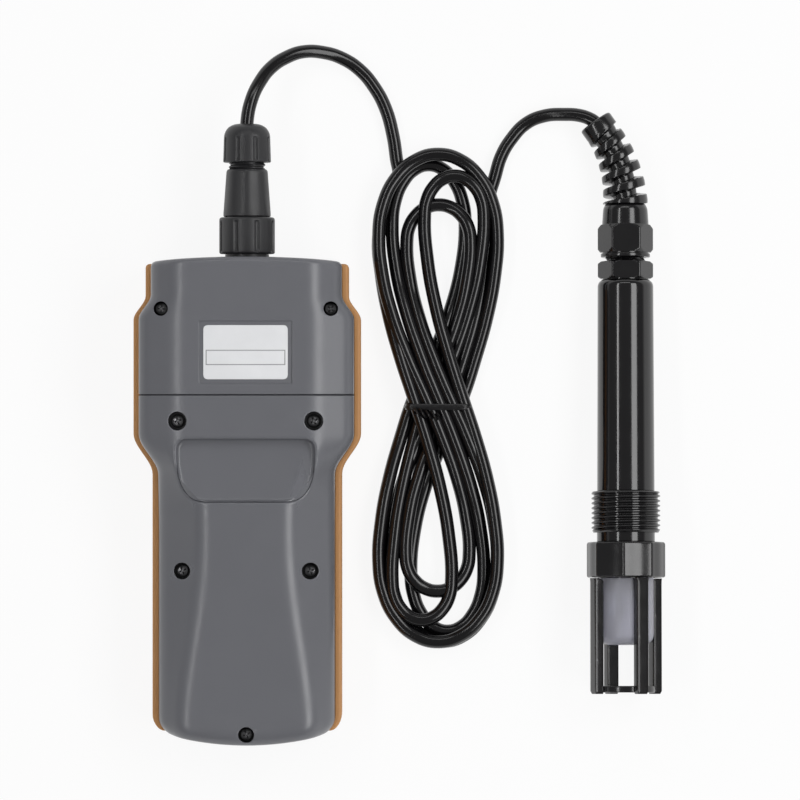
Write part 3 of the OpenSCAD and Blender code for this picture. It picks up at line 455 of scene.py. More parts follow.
class Bench:
    """The nodes of a material or of a world."""

    def __init__(self, holder, output="ShaderNodeOutputMaterial"):
        holder.use_nodes = True
        self.tree = holder.node_tree
        self.tree.nodes.clear()
        self.output = self.tree.nodes.new(output)

    def node(self, kind, settings, inputs, output=0):
        made = self.tree.nodes.new(kind)
        for key, value in settings.items():
            if key == "stops":
                self.ramp(made.color_ramp, value)
            else:
                setattr(made, key, value)
        for key, value in inputs.items():
            if isinstance(value, Wire):
                self.tree.links.new(value.socket, made.inputs[key])
            else:
                made.inputs[key].default_value = value
        return Wire(self, made.outputs[output])

    @staticmethod
    def ramp(ramp, stops):
        while len(ramp.elements) < len(stops):
            ramp.elements.new(1)
        for element, (position, value) in zip(ramp.elements, stops):
            element.position = position
            element.color = (value, value, value, 1)

    def place(self):
        return self.node("ShaderNodeTexCoord", {}, {}, "Object")

    def axis(self, name):
        return self.node("ShaderNodeSeparateXYZ", {}, {0: self.place()}, name)

    def noise(self, size, detail=3.0, stretch=(1, 1, 1)):
        """Noise whose lumps are about the given size, in millimetres."""
        scaled = self.node("ShaderNodeVectorMath", {"operation": "MULTIPLY"}, {0: self.place(), 1: stretch})
        return self.node("ShaderNodeTexNoise", {}, {
            "Vector": scaled, "Scale": 1 / (size * MM), "Detail": detail, "Roughness": 0.55}, 0)

    def blend(self, factor, a, b):
        return self.node("ShaderNodeMix", {"data_type": "RGBA"}, {0: factor, 6: a, 7: b}, 2)

    def edges(self, low=0.53, high=0.62):
        """1 on outward edges of a piece and 0 elsewhere."""
        worn = self.node("ShaderNodeNewGeometry", {}, {}, "Pointiness")
        return self.node("ShaderNodeValToRGB", {"stops": [(low, 0.0), (high, 1.0)]}, {0: worn})

    def bump(self, height, strength, depth):
        return self.node("ShaderNodeBump", {}, {
            "Height": height, "Strength": strength, "Distance": depth * MM})

    def painted_well_shade(self, places):
        """1 inside round wells along Z, given as x, y and radius in millimetres: the mask for painted shade
        in them.
        """
        flat = self.node("ShaderNodeVectorMath", {"operation": "MULTIPLY"}, {0: self.place(), 1: (1, 1, 0)})
        inside = 0
        for x, y, radius in places:
            centre = (x * MM, y * MM, 0)
            away = self.node("ShaderNodeVectorMath", {"operation": "DISTANCE"}, {0: flat, 1: centre}, "Value")
            inside = (away < radius * MM) + inside
        return inside.clamped()

    def backdrop_rays(self):
        """1 for the rays that see the white background: straight, mirrored or through clear plastic."""
        rays = [self.node("ShaderNodeLightPath", {}, {}, f"Is {kind} Ray")
                for kind in ("Camera", "Glossy", "Transmission")]
        return (rays[0] + rays[1] + rays[2]).clamped()

    def finish(self, shader):
        self.tree.links.new(shader.socket, self.output.inputs["Surface"])

    def surface(self, inputs):
        self.finish(self.node("ShaderNodeBsdfPrincipled", {}, inputs))


def shade(tint, factor):
    return tuple(min(1, channel * factor) for channel in tint[:3]) + (1,)


def new_finish(name):
    return Bench(bpy.data.materials.new(name))


def moulded(name, tint, rough, grain, depth, variation=0.05, wear=0.25, painted_well_shade=(), ior=1.5):
    """Moulded plastic or rubber: fine grain, slow colour drift, paler worn edges, and shade painted near
    black inside the screw wells.
    """
    bench = new_finish(name)
    drift = bench.noise(22, 2)
    speckle = bench.noise(grain * 2.5, 4)
    base = bench.blend(drift, shade(tint, 1 - variation), shade(tint, 1 + variation))
    base = bench.blend(speckle * 0.35, base, shade(tint, 1 - 2 * variation))
    edge = bench.edges()
    base = bench.blend(edge * wear * bench.noise(3, 4), base, shade(tint, 1.9))
    # Painted shade: the deep screw wells are darkened to near black, as if no light reached into them.
    if painted_well_shade:
        base = bench.blend(bench.painted_well_shade(painted_well_shade), base, shade(tint, 0.12))
    roughness = (bench.noise(7, 3) * 0.16 + (rough - 0.08) - edge * 0.08).clamped()
    bench.surface({
        "Base Color": base, "Roughness": roughness, "IOR": ior,
        "Normal": bench.bump(bench.noise(grain, 3), 0.5, depth)})


def metal(name, tint, rough, stretch=(1, 1, 1)):
    bench = new_finish(name)
    lines = bench.noise(0.5, 4, stretch)
    stain = bench.noise(4, 3)
    base = bench.blend(stain, shade(tint, 0.82), shade(tint, 1.08))
    bench.surface({
        "Base Color": base, "Metallic": 1.0, "Roughness": (lines * 0.22 + rough - 0.08).clamped(),
        "Normal": bench.bump(lines, 0.25, 0.02)})


def clear(name, tint, rough, transmission):
    bench = new_finish(name)
    cloud = bench.noise(6, 4)
    bench.surface({
        "Base Color": bench.blend(cloud, shade(tint, 0.93), shade(tint, 1.04)),
        "Roughness": cloud * 0.1 + rough, "Transmission Weight": transmission, "IOR": 1.49,
        "Normal": bench.bump(bench.noise(3, 3), 0.2, 0.05)})


def label_finish(tint):
    """A pale printed plate with an empty ruled box."""
    recess = sizes("meter_recess")
    bench = new_finish("label_print")
    box_half_width, box_half_height, box_drop, line = 13.5, 2.45, 1.8, 0.16
    across = abs(bench.axis("X") / MM - METER_X)
    down = abs(bench.axis("Y") / MM - (METER_Y - recess.label_place - box_drop))
    outside = bench.node("ShaderNodeMath", {"operation": "MAXIMUM"}, {
        0: across - box_half_width, 1: down - box_half_height})
    ruled = abs(outside) < line
    soil = bench.noise(9, 5)
    base = bench.blend(soil, shade(tint, 0.94), shade(tint, 1.05))
    base = bench.blend(ruled * 0.8, base, shade(tint, 0.22))
    bench.surface({
        "Base Color": base, "Roughness": bench.noise(5, 3) * 0.2 + 0.32,
        "Normal": bench.bump(bench.noise(0.6, 3), 0.2, 0.02)})


def banded(name, tint, other, axis, pitch, rough=0.4):
    """Bands of two colours along an axis, for cell sleeves and board tracks."""
    bench = new_finish(name)
    wave = bench.node("ShaderNodeMath", {"operation": "FRACT"}, {0: bench.axis(axis) / (pitch * MM)})
    drift = bench.noise(5, 3)
    base = bench.blend(wave < 0.3, shade(tint, 1), shade(other, 1))
    base = bench.blend(drift * 0.4, base, shade(tint, 0.8))
    bench.surface({
        "Base Color": base, "Roughness": drift * 0.15 + (rough - 0.07),
        "Normal": bench.bump(bench.noise(0.8, 2), 0.2, 0.03)})


class METER_OT_materials(bpy.types.Operator):
    """Makes every finish and gives it to the frame's own parts"""
    bl_idname = "meter.materials"
    bl_label = "Finishes"

    def execute(self, context):
        paint = context.scene.meter_colours
        # The screw wells, a little widened, that get painted shade in the case grey.
        painted_shade_margin = 0.06
        wells = [(METER_X + x, METER_Y - d, diameter / 2 + painted_shade_margin)
                 for group in CaseForm().screw_places() for x, d, diameter in group]
        # Each has its colour, roughness, grain, depth of grain, drift of colour and wear of the edges, then,
        # where given, the wells for painted shade and the IOR
        moulded("case_grey", paint.case, 0.32, 0.5, 0.015, 0.03, 0.3, wells, 1.55)
        moulded("front_grey", shade(paint.case, 0.8), 0.52, 0.5, 0.05, 0.04, 0.3)
        moulded("bumper_orange", paint.band, 0.62, 0.35, 0.05, 0.05, 0.12)
        moulded("connector_black", paint.connector, 0.42, 0.45, 0.04, 0.06, 0.2)
        moulded("gland_black", paint.black, 0.17, 0.8, 0.006, 0.08, 0.08, ior=1.6)
        moulded("probe_black", paint.black, 0.12, 1.5, 0.003, 0.08, 0.04, ior=1.6)
        moulded("cord_black", paint.cord, 0.17, 1.2, 0.006, 0.08, 0.0)
        moulded("tie_black", paint.cord, 0.35, 0.5, 0.04, 0.08, 0.1)
        moulded("rubber_black", shade(paint.black, 1.2), 0.7, 0.3, 0.05, 0.06, 0.1)
        moulded("holder_black", shade(paint.black, 1.6), 0.5, 0.4, 0.05, 0.06, 0.2)
        moulded("key_grey", (0.42, 0.43, 0.44), 0.55, 0.3, 0.04, 0.05, 0.1)
        moulded("insert_grey", (0.2, 0.2, 0.21), 0.45, 0.4, 0.04, 0.05, 0.1)
        moulded("junction_white", (0.72, 0.71, 0.66), 0.7, 0.25, 0.06, 0.06, 0.0)
        label_finish(paint.label)
        metal("screw_steel", paint.steel, 0.34)
        metal("electrode_steel", paint.steel, 0.2, (1, 0.1, 1))
        metal("contact_nickel", (0.62, 0.6, 0.55), 0.32)
        metal("pin_gold", (0.78, 0.55, 0.22), 0.28)
        clear("cup_clear", paint.cup, 0.34, 0.72)
        clear("bulb_glass", (0.86, 0.92, 0.93), 0.03, 0.95)
        clear("window_clear", (0.75, 0.78, 0.79), 0.06, 0.9)
        banded("display_grey", (0.33, 0.37, 0.3), (0.35, 0.39, 0.32), "X", 1.2)
        banded("board_green", (0.03, 0.16, 0.07), (0.05, 0.24, 0.1), "X", 2.4)
        banded("cell_sleeve", (0.1, 0.1, 0.11), (0.55, 0.42, 0.16), "Y", 44.7)
        finishes = {
            "front_grey": ["front_shell"], "holder_black": ["battery_tray", "buzzer"],
            "rubber_black": ["case_gasket", "cover_gasket", "keypad_mat", "socket_seal", "plug_seal",
                             "cord_grommet", "gland_seal", "sleeve_oring"],
            "cell_sleeve": ["battery_cells"], "contact_nickel": ["battery_contacts", "socket_nut"],
            "board_green": ["main_board"], "display_grey": ["display_panel"],
            "window_clear": ["display_window"], "connector_black": ["socket_body"],
            "pin_gold": ["socket_pins"], "insert_grey": ["plug_insert"], "probe_black": ["sensor_carrier"],
            "bulb_glass": ["ph_electrode"], "electrode_steel": ["conductivity_pins", "temperature_tip"],
            "junction_white": ["reference_junction"], "key_grey": [f"key_{i}" for i in range(1, 7)]}
        for finish, nodes in finishes.items():
            for part in [frame["nodes"][node] for node in nodes]:
                if not part.data.materials:
                    part.data.materials.append(None)
                for slot in part.material_slots:
                    slot.material = bpy.data.materials[finish]
        return {"FINISHED"}


# Camera and cord

class METER_OT_camera(bpy.types.Operator):
    """Looks straight down on the set from far off, as the photograph does"""
    bl_idname = "meter.camera"
    bl_label = "Camera"

    def execute(self, context):
        distance, view_width, plane_height, sensor = 2000, 276.8, 25, 36
        data = bpy.data.cameras.new("view_camera")
        data.sensor_width = sensor
        data.lens = sensor * distance / view_width
        data.clip_start = 0.01
        data.clip_end = 20
        camera = bpy.data.objects.new("view_camera", data)
        camera.location = Vector((-0.1, 9.3, distance + plane_height)) * MM
        context.scene.collection.objects.link(camera)
        context.scene.camera = camera
        return {"FINISHED"}


# Points of the free cord in metres, from the plug to the hank and from the hank to the probe
METER_LEAD = [
    (-0.0531, 0.097, 0.0215), (-0.0531, 0.106, 0.0215), (-0.0516, 0.1134, 0.0206), (-0.0487, 0.1198, 0.018),
    (-0.0448, 0.125, 0.0146), (-0.0396, 0.1287, 0.0112), (-0.0338, 0.1308, 0.0084), (-0.027, 0.1307, 0.0058),
    (-0.0204, 0.1288, 0.0038), (-0.014, 0.1246, 0.0027), (-0.009, 0.1186, 0.00235),
    (-0.0052, 0.1114, 0.00235), (-0.0026, 0.102, 0.00235), (-0.0014, 0.094, 0.00235),
    (-0.0006, 0.087, 0.00235)]
PROBE_LEAD = [
    (0.031, 0.08, 0.00235), (0.033, 0.087, 0.00235), (0.0354, 0.0948, 0.00235), (0.039, 0.1008, 0.00235),
    (0.044, 0.106, 0.0026), (0.0501, 0.1086, 0.0034), (0.0577, 0.1091, 0.0052), (0.0625, 0.1087, 0.0061),
    (0.0659, 0.1076, 0.0066), (0.0682, 0.1061, 0.0069), (0.0702, 0.1033, 0.007)]
HANK_MIDDLE = Vector((13.2, 10, 0))
TIE_MIDDLE = HANK_MIDDLE + Vector((0, -3.1, 0))
# Heights of the cord's centre in the loops, and of the strands under the tie
LOW, HIGH = 2.65, 7.05
WAIST_LOW, WAIST_HIGH = 3.15, 7.75
SIDE_STEPS = [0.25, 0.5, 0.75]
ARC_STEPS = 8


def hank_loops(cord):
    """Loops: left, right, height of the widest place, apex, and the levels at left, apex and right."""
    lobe, reach = cord.lobe, cord.reach
    return SimpleNamespace(
        outer=(-lobe, lobe, 57, reach, HIGH, 6.6, 6.0),
        left=(4.7 - lobe, 9.5, 61, reach - 3.5, LOW, LOW, LOW),
        right=(-4.7, lobe - 4.7, 64, reach - 7.6, 5.6, HIGH, HIGH),
        inner=(-10.9, 11.3, 55, reach - 17.6, LOW, 5.0, HIGH),
        ends=(-lobe, lobe - 3.7, 57, reach, LOW, LOW, LOW))


def strand(number, spacing):
    """Place of a strand under the tie, counted from the left."""
    return (number - 2) * spacing


def side_run(slot, side, widest, level, waist_level):
    """Points from under the tie out to the widest place of a loop."""
    out = []
    for k in SIDE_STEPS:
        swing = math.sin(math.pi / 2 * k)
        settle = ease(0.3, 0.75, k)
        out.append(Vector((mix(slot, side, swing), widest * k, mix(waist_level, level, settle))))
    return out


def loop_run(loop, come, leave, spacing):
    """Points of one loop, from the waist round its apex and back to the waist."""
    left, right, widest, apex, level_left, level_apex, level_right = loop
    middle, half = (left + right) / 2, (right - left) / 2
    points = side_run(strand(come, spacing), right, widest, level_right, WAIST_LOW)
    for i in range(ARC_STEPS + 1):
        angle = math.pi * i / ARC_STEPS
        near = mix(level_right, level_apex, ease(0, 0.5, i / ARC_STEPS))
        level = mix(near, level_left, ease(0.5, 1, i / ARC_STEPS))
        x, y = middle + half * math.cos(angle), widest + (apex - widest) * math.sin(angle)
        points.append(Vector((x, y, level)))
    points += reversed(side_run(strand(leave, spacing), left, widest, level_left, WAIST_HIGH))
    return points


def mirrored(points):
    return [Vector((-p.x, -p.y, p.z)) for p in points]


def hank_route(cord):
    """The whole way of the cord through the hank."""
    loops, spacing = hank_loops(cord), cord.waist
    first, last, widest = loops.ends[:3]
    entry = Vector((-16.6, 71.5, LOW))
    route = [entry, Vector((first, widest, LOW))]
    route += reversed(side_run(strand(0, spacing), first, widest, LOW, WAIST_HIGH))
    down = 0
    # Bottom loop, the strand that leads up from it, top loop, the strand that leads down
    for bottom, up, top, next_down in (
            (loops.right, 1, loops.inner, 3), (loops.ends, 2, loops.right, 4),
            (loops.outer, 0, loops.left, 2), (loops.left, 4, loops.outer, 1), (loops.inner, 3, None, 0)):
        route.append(Vector((strand(down, spacing), 0, WAIST_HIGH)))
        # A bottom loop is a top loop turned half round, and the cord runs it from its upper strand's side
        below = loop_run(bottom, 4 - up, 4 - down, spacing)
        route += reversed(mirrored(below))
        route.append(Vector((strand(up, spacing), 0, WAIST_LOW)))
        if top:
            route += loop_run(top, up, next_down, spacing)
        down = next_down
    route += side_run(strand(up, spacing), last, widest, LOW, WAIST_LOW)
    route.append(Vector((last, widest, LOW)))
    return [point + HANK_MIDDLE for point in route]


def tube_curve(name, points, radius, smooth=8, sides=6):
    """A round tube along one open spline through points in metres."""
    data = bpy.data.curves.new(name, "CURVE")
    data.dimensions = "3D"
    data.bevel_depth = radius * MM
    data.bevel_resolution = sides
    data.resolution_u = smooth
    data.use_fill_caps = True
    spline = data.splines.new("BEZIER")
    spline.bezier_points.add(len(points) - 1)
    for knot, point in zip(spline.bezier_points, points):
        knot.co = point
        knot.handle_left_type = knot.handle_right_type = "AUTO"
    piece = bpy.data.objects.new(name, data)
    bpy.context.scene.collection.objects.link(piece)
    return piece


def tie_band(cord):
    """A flat wire-cored strip round the strands, with its two ends twisted together."""
    half, foot, height, thick = 11.6, 0.4, 10.6, 0.55
    outline = divided(filleted([
        (-half, foot, 3.2), (half, foot, 3.2), (half, height, 3.6), (-half, height, 3.6)], 6), 1.5)
    rows = []
    for p, q in zip(outline, shifted(outline, -thick)):
        row = []
        for angle in round_angles(8):
            level = mix(q, p, 0.5 + 0.5 * math.sin(angle))
            row.append((level.x, cord.tie / 2 * math.cos(angle), level.y))
        rows.append(row)
    band = Shape().grid(rows, closed_rows=True)

    wire_out, wire_wide, wire_high, proud = 0.35, 0.4, 0.3, 0.02
    band.add(Shape().grid([
        [(p.x + wire_out * math.cos(a) * p.x / half, wire_wide * math.sin(a), p.y + wire_high * math.cos(a))
         for a in round_angles(8)] for p in shifted(outline, proud)], closed_rows=True))

    steps, turns, apart, radius, tip_radius = 40, 2.2, 0.75, 0.7, 0.5
    start, run = Vector((-8.5, -1.4, height + thick)), Vector((9, -2.2, -0.9))
    for first in (0, math.pi):
        rows = []
        for i in range(steps):
            t = i / (steps - 1)
            swirl = first + t * math.tau * turns
            centre = start + run * t + Vector((0, math.cos(swirl), math.sin(swirl))) * apart
            own = radius if i < steps - 4 else tip_radius
            rows.append([centre + Vector((0, math.cos(a), math.sin(a))) * own for a in round_angles(10)])
        band.grid(rows, ends=True)
    return band


class METER_OT_cord(bpy.types.Operator):
    """Lays the free cord from the plug through its tied hank to the probe"""
    bl_idname = "meter.cord"
    bl_label = "Cord and tie"

    def execute(self, context):
        cord = sizes("meter_cord")
        hank = [point * MM for point in hank_route(cord)]
        points = [Vector(p) for p in METER_LEAD] + hank + [Vector(p) for p in PROBE_LEAD]
        lead = tube_curve("cord", points, cord.cord / 2)
        finished(lead, "meter", "cord_black", ("cord_meter_lead", "cord_hank", "cord_probe_lead"))
        tie = linked("cord_tie_strip", tie_band(cord), Matrix.Translation(TIE_MIDDLE))
        finished(tie, "meter", "tie_black", ("cord_tie",))
        cap_top = plug_levels(sizes("meter_plug")).top
        return {"FINISHED"}


# The meter's case

class CaseForm:
    """The rounded back of the case, worked out from its sizes."""

    top_corner, foot_corner, top_rise, foot_rise = 1.8, 5, 1.8, 5.2
    edge_round, crease_round, foot_round = 4, 3.6, 6

    def __init__(self):
        self.s = sizes("meter_case")

    def half(self, d):
        s = self.s
        return (s.head_half + (s.shoulder_half - s.head_half) * ease(12, 21, d)
                - (s.shoulder_half - s.grip_half) * ease(61, 75, d)
                - rounding(d, self.top_corner) - rounding(s.case_length - d, self.foot_corner))

    def bow(self, d, x):
        s = self.s
        return (-d - self.top_rise * (x / s.head_half) ** 2 * (1 - ease(0, 30, d))
                + self.foot_rise * (x / s.grip_half) ** 2 * ease(s.case_length - 40, s.case_length, d))

    def ends(self, d):
        return rounding(d, 2) + 0.8 * rounding(self.s.case_length - d, self.foot_round)

    def back(self, d):
        s = self.s
        return s.head_height - (s.head_height - s.grip_height) * ease(56, 160, d) - self.ends(d)

    def edge(self, d):
        s = self.s
        return s.head_edge - (s.head_edge - s.grip_edge) * ease(58, 96, d) - self.ends(d)

    def crease(self, d):
        s = self.s
        return (s.head_crease - (s.head_crease - s.ridge_crease) * ease(70, 86, d)
                + (s.foot_crease - s.ridge_crease) * ease(100, s.case_length, d))

    def section(self, d, inset):
        """Cross-section from the right side wall over the back to the left side wall, as x and z."""
        edge_steps, crease_steps, flat_steps = 10, 6, 8
        corner = Vector((self.half(d) - self.s.band - inset, self.edge(d) - inset))
        crease = Vector((self.crease(d), self.back(d) - inset))
        slope = (crease - corner).normalized()
        down, inward = Vector((0, self.edge_round)), Vector((self.crease_round, 0))
        side = bezier(corner - down, corner, corner + slope * self.edge_round, edge_steps)
        turn = bezier(crease - slope * self.crease_round, crease, crease - inward, crease_steps)
        between = [side[-1].lerp(turn[0], k / crease_steps) for k in range(1, crease_steps)]
        flat = [Vector((turn[-1].x * k / flat_steps, turn[-1].y)) for k in range(flat_steps - 1, 0, -1)]
        right = side + between + turn + flat
        return right + [Vector((0, turn[-1].y))] + [Vector((-p.x, p.y)) for p in reversed(right)]

    def stations(self, a, b, lip):
        s = self.s
        marks = [k * self.top_corner for k in CORNER_STEPS] + spread(self.top_corner, 12, 5)
        marks += spread(12, 21, 9) + spread(21, 61, 20) + spread(61, 75, 12) + spread(75, 100, 14)
        marks += spread(100, s.case_length - self.foot_round, 26)
        marks += [s.case_length - k * self.foot_round for k in reversed(CORNER_STEPS)]
        marks = [m for m in marks if a + lip < m < b - lip]
        near = [k * lip for k in (0, 0.1, 0.3, 0.6, 1)] if lip else [0]
        return [a + k for k in near] + marks + [b - k for k in reversed(near)]

    def solid(self, a, b, low, inset=0.0, lip=0.0):
        """The back between distances a and b, down to a flat foot."""
        top, foot = [], []
        for d in self.stations(a, b, lip):
            own = inset + rounding(d - a, lip) + rounding(b - d, lip) if lip else inset
            line = self.section(d, own)
            top.append([(p.x, self.bow(d, p.x), p.y) for p in line])
            foot.append([(p.x, self.bow(d, p.x), low) for p in line])
        shape = Shape().grid(top, closed_cols=False).grid(foot, closed_cols=False)
        for end in (0, -1):
            shape.grid([top[end], foot[end]], closed_cols=False)
        for side in (0, -1):
            shape.grid([[row[side] for row in top], [row[side] for row in foot]], closed_cols=False)
        return shape

    def height(self, x, y):
        """Height of the back at a place, found on its cross-section."""
        line = self.section(-y, 0)
        reach = abs(x)
        for outer, inner in zip(line, line[1:]):
            if inner.x <= reach <= outer.x:
                return mix(inner.y, outer.y, (reach - inner.x) / max(outer.x - inner.x, 1e-6))
        return line[0].y

    def plain_height(self, x, d):
        crease = self.crease(d)
        away = max(0, abs(x) - crease) / (self.half(d) - self.s.band - crease)
        return mix(self.back(d), self.edge(d), away)

    def plan(self, side=0.0, ends=0.0, start=0.0):
        """Outline of the case seen from above, counter-clockwise."""
        a, b = max(start, ends), self.s.case_length - ends
        ds = self.stations(a, b, 0)
        right = [Vector((self.half(d) - side, self.bow(d, self.half(d) - side))) for d in ds]
        left = [Vector((-p.x, p.y)) for p in right]
        cross = [k / 4 for k in range(-3, 4)]
        head = [Vector((k * right[0].x, self.bow(a, k * right[0].x))) for k in cross]
        foot = [Vector((k * right[-1].x, self.bow(b, k * right[-1].x))) for k in cross]
        return left + foot + right[::-1] + head[::-1]

    def pocket(self, outline, floor, lip, floor_round):
        """A cutter that follows the back, with a rounded lip and a rounded floor edge."""
        arcs = [math.pi / 2 * k / 4 for k in range(5)]
        rows = []
        for angle in arcs:
            ring = shifted(outline, floor_round * (math.sin(angle) - 1))
            rows.append([(p.x, p.y, floor(p) + floor_round * (1 - math.cos(angle))) for p in ring])
        for angle in arcs:
            ring = shifted(outline, lip * (1 - math.cos(angle)))
            rows.append([(p.x, p.y, self.height(p.x, p.y) - lip + lip * math.sin(angle)) for p in ring])
        ring = shifted(outline, lip * 1.15)
        rows.append([(p.x, p.y, self.height(p.x, p.y) + 3) for p in ring])
        return Shape().grid(rows, ends=True)

    def well(self, place):
        """A screw well down to its seat."""
        x, d, diameter = place
        seat = self.seat(place)
        outline = [Vector((x + diameter / 2 * math.cos(a), -d + diameter / 2 * math.sin(a)))
                   for a in round_angles(40)]
        return self.pocket(outline, lambda p: seat, lip=0.3, floor_round=0.25)

    def seat(self, place):
        recess = sizes("meter_recess")
        return self.plain_height(place[0], place[1]) - recess.well_depth - recess.screw_head_height

    def screw_places(self):
        """Case screws, then cover screws: x, distance down, well diameter."""
        foot = self.s.case_length - 3.9
        return ([(-29.2, 17.9, 4.9), (29.2, 17.9, 4.9)], [
            (-23.4, 56.5, 6.3), (23.4, 56.5, 6.3), (-22.1, 108.2, 5.7), (22.1, 108.2, 5.7), (0, foot, 5.4)])

    def recess_outline(self, grow=0.0):
        r = sizes("meter_recess")
        top, foot = -r.start, -r.start - r.run
        curve = bezier(Vector((r.half, top - 0.3 * r.run)), Vector((r.half - 0.5, top - 0.95 * r.run)),
                       Vector((r.foot_half, foot)), 12)[:-2]
        right = [(r.foot_half, foot, 2.2)] + [(p.x, p.y, 0) for p in reversed(curve)] + [(r.half, top, 4)]
        left = [(-x, y, radius) for x, y, radius in reversed(right)]
        return shifted(divided(filleted(left + right, 8), 1.2), grow)

    def recess_floor(self, point):
        r = sizes("meter_recess")
        return self.s.head_height - r.depth + (-point.y - r.start) * math.tan(math.radians(6))


def cylinder(place, radius, low, high):
    """An upright cylinder at a screw's place."""
    shape = Shape().turned([(0, low), (radius, low), (radius, high), (0, high)], 40, closed=False)
    return shape.moved(Matrix.Translation((place[0], -place[1], 0)))


def column(place):
    """The solid wall kept round a screw well."""
    return linked("column", cylinder(place, place[2] / 2 + 1.5, 0, 60))


class METER_OT_rear_shell(bpy.types.Operator):
    """Moulds the head of the back, with its label recess, wells and battery deck"""
    bl_idname = "meter.rear_shell"
    bl_label = "Rear shell"

    def execute(self, context):
        form = CaseForm()
        s, recess = form.s, sizes("meter_recess")
        case_screws, cover_screws = form.screw_places()
        rim, deck, boss, shank = 3.2, 1.6, 3.6, 1.25
        hollow = linked("hollow", form.solid(s.wall, s.seam - s.wall, s.part_height - 0.5, s.wall))
        combined(hollow, "DIFFERENCE", [column(p) for p in case_screws])
        head = linked("rear_shell_form", form.solid(0, s.seam, s.part_height, 0, s.lip))
        box = rounded_box(recess.label_width / 2, recess.label_length / 2, 0.5, 6)
        outline = [Vector((x, y - recess.label_place)) for x, y in divided(box, 2)]
        floor = s.head_height - recess.label_depth
        label_pocket = form.pocket(outline, lambda p: floor, lip=0.28, floor_round=0.15)
        cutters = [hollow, linked("label", label_pocket)]
        cutters += [linked("well", form.well(p)) for p in case_screws]
        cutters += [linked("bore", cylinder(p, shank + 0.2, 0, 30)) for p in case_screws]
        hole_radius, behind, ahead = 6.5, -6, 2
        hole = Shape().turned([
            (0, behind), (hole_radius, behind), (hole_radius, ahead), (0, ahead)], 64, closed=False)
        socket = Matrix.Translation((0, 0, PLUG_Z)) @ Matrix.Rotation(-math.pi / 2, 4, "X")
        cutters.append(linked("hole", hole, socket))
        combined(head, "DIFFERENCE", cutters)
        tray = linked("rim", Shape().prism(form.plan(s.band, 0, s.seam), s.part_height, s.cover_height))
        inside = form.plan(s.band + rim, rim, s.seam + rim)
        inner = Shape().prism(inside, s.part_height + deck, s.cover_height + 1)
        combined(tray, "DIFFERENCE", [linked("inner", inner)])
        bosses = [linked("boss", cylinder(p, boss, s.part_height + 0.2, s.cover_height))
                  for p in cover_screws]
        combined(tray, "UNION", bosses)
        bores = [linked("bore", cylinder(p, shank, s.part_height + 0.6, 30)) for p in cover_screws]
        groove_out, groove_in, groove_depth = 0.6, 1.8, 0.9
        outer, land = [form.plan(s.band + k, k, s.seam + k) for k in (groove_out, groove_in)]
        groove = linked("groove", Shape().prism(outer, s.cover_height - groove_depth, 30))
        combined(groove, "DIFFERENCE", [linked("land", Shape().prism(land, 0, 40))])
        combined(tray, "DIFFERENCE", bores + [groove])
        combined(head, "UNION", [tray])
        head.data.transform(Matrix.Translation(METER.translation * MM))
        finished(head, "meter", "case_grey", ("rear_shell",))
        return {"FINISHED"}


class METER_OT_battery_cover(bpy.types.Operator):
    """Moulds the lower back, with its finger recess and five wells"""
    bl_idname = "meter.battery_cover"
    bl_label = "Battery cover"

    def execute(self, context):
        form = CaseForm()
        s = form.s
        screws = form.screw_places()[1]
        start = s.seam + s.seam_gap
        inside = form.solid(start + s.wall, s.case_length - s.wall, s.cover_height - 1, s.wall)
        hollow = linked("hollow", inside)
        thick = Shape().grid([
            [(p.x, p.y, form.recess_floor(p) - s.wall) for p in form.recess_outline(s.wall)],
            [(p.x, p.y, 60) for p in form.recess_outline(s.wall)]], ends=True)
        keep = [column(p) for p in screws] + [linked("thick", thick)]
        combined(hollow, "DIFFERENCE", keep)
        cover = linked("battery_cover_form", form.solid(start, s.case_length, s.cover_height + 0.1, 0, s.lip))
        recess = form.pocket(form.recess_outline(), form.recess_floor, lip=1.1, floor_round=1.3)
        cutters = [hollow, linked("recess", recess)]
        cutters += [linked("well", form.well(p)) for p in screws]
        bore = 1.45
        cutters += [linked("bore", cylinder(p, bore, 0, 34)) for p in screws]
        combined(cover, "DIFFERENCE", cutters)
        cover.data.transform(Matrix.Translation(METER.translation * MM))
        finished(cover, "battery_cover", "case_grey", ("battery_cover",))
        return {"FINISHED"}


class METER_OT_bumpers(bpy.types.Operator):
    """Adds the two soft side bands with rounded edges"""
    bl_idname = "meter.bumpers"
    bl_label = "Side bumpers"

    def execute(self, context):
        form = CaseForm()
        s = form.s
        gap, lip = 0.4, 0.8
        shape = Shape()
        for side in (1, -1):
            rows = []
            for d in form.stations(gap, s.case_length - gap, lip):
                end = rounding(min(d - gap, s.case_length - gap - d), lip)
                outer, inner = form.half(d) - 0.7 * end, form.half(d) - s.band
                top = s.bumper_height - end
                ring = filleted([
                    (inner, end, 0.2), (outer, end, lip), (outer, top, 1.2), (inner, top, 0.35)], 5)
                rows.append([(side * p.x, form.bow(d, form.half(d)), p.y) for p in ring])
            shape.grid(rows, ends=True)
        band = linked("side_bands", shape, METER)
        finished(band, "meter", "bumper_orange", ("side_bumpers",))
        return {"FINISHED"}


class METER_OT_label(bpy.types.Operator):
    """Adds the bare label plate, with an empty ruled box"""
    bl_idname = "meter.label"
    bl_label = "Label"

    def execute(self, context):
        recess, case = sizes("meter_recess"), sizes("meter_case")
        half_width = recess.label_width / 2 - recess.label_margin
        half_length = recess.label_length / 2 - recess.label_margin
        low, thick, corner, lip = case.head_height - recess.label_depth, 0.3, 1.7, 0.08
        outline = [Vector((p.x, p.y - recess.label_place))
                   for p in rounded_box(half_width, half_length, corner, 8)]
        plate = Shape().prism(outline, low, low + thick, lip)
        finished(linked("label_plate", plate, METER), "meter", "label_print", ("id_label",))
        return {"FINISHED"}


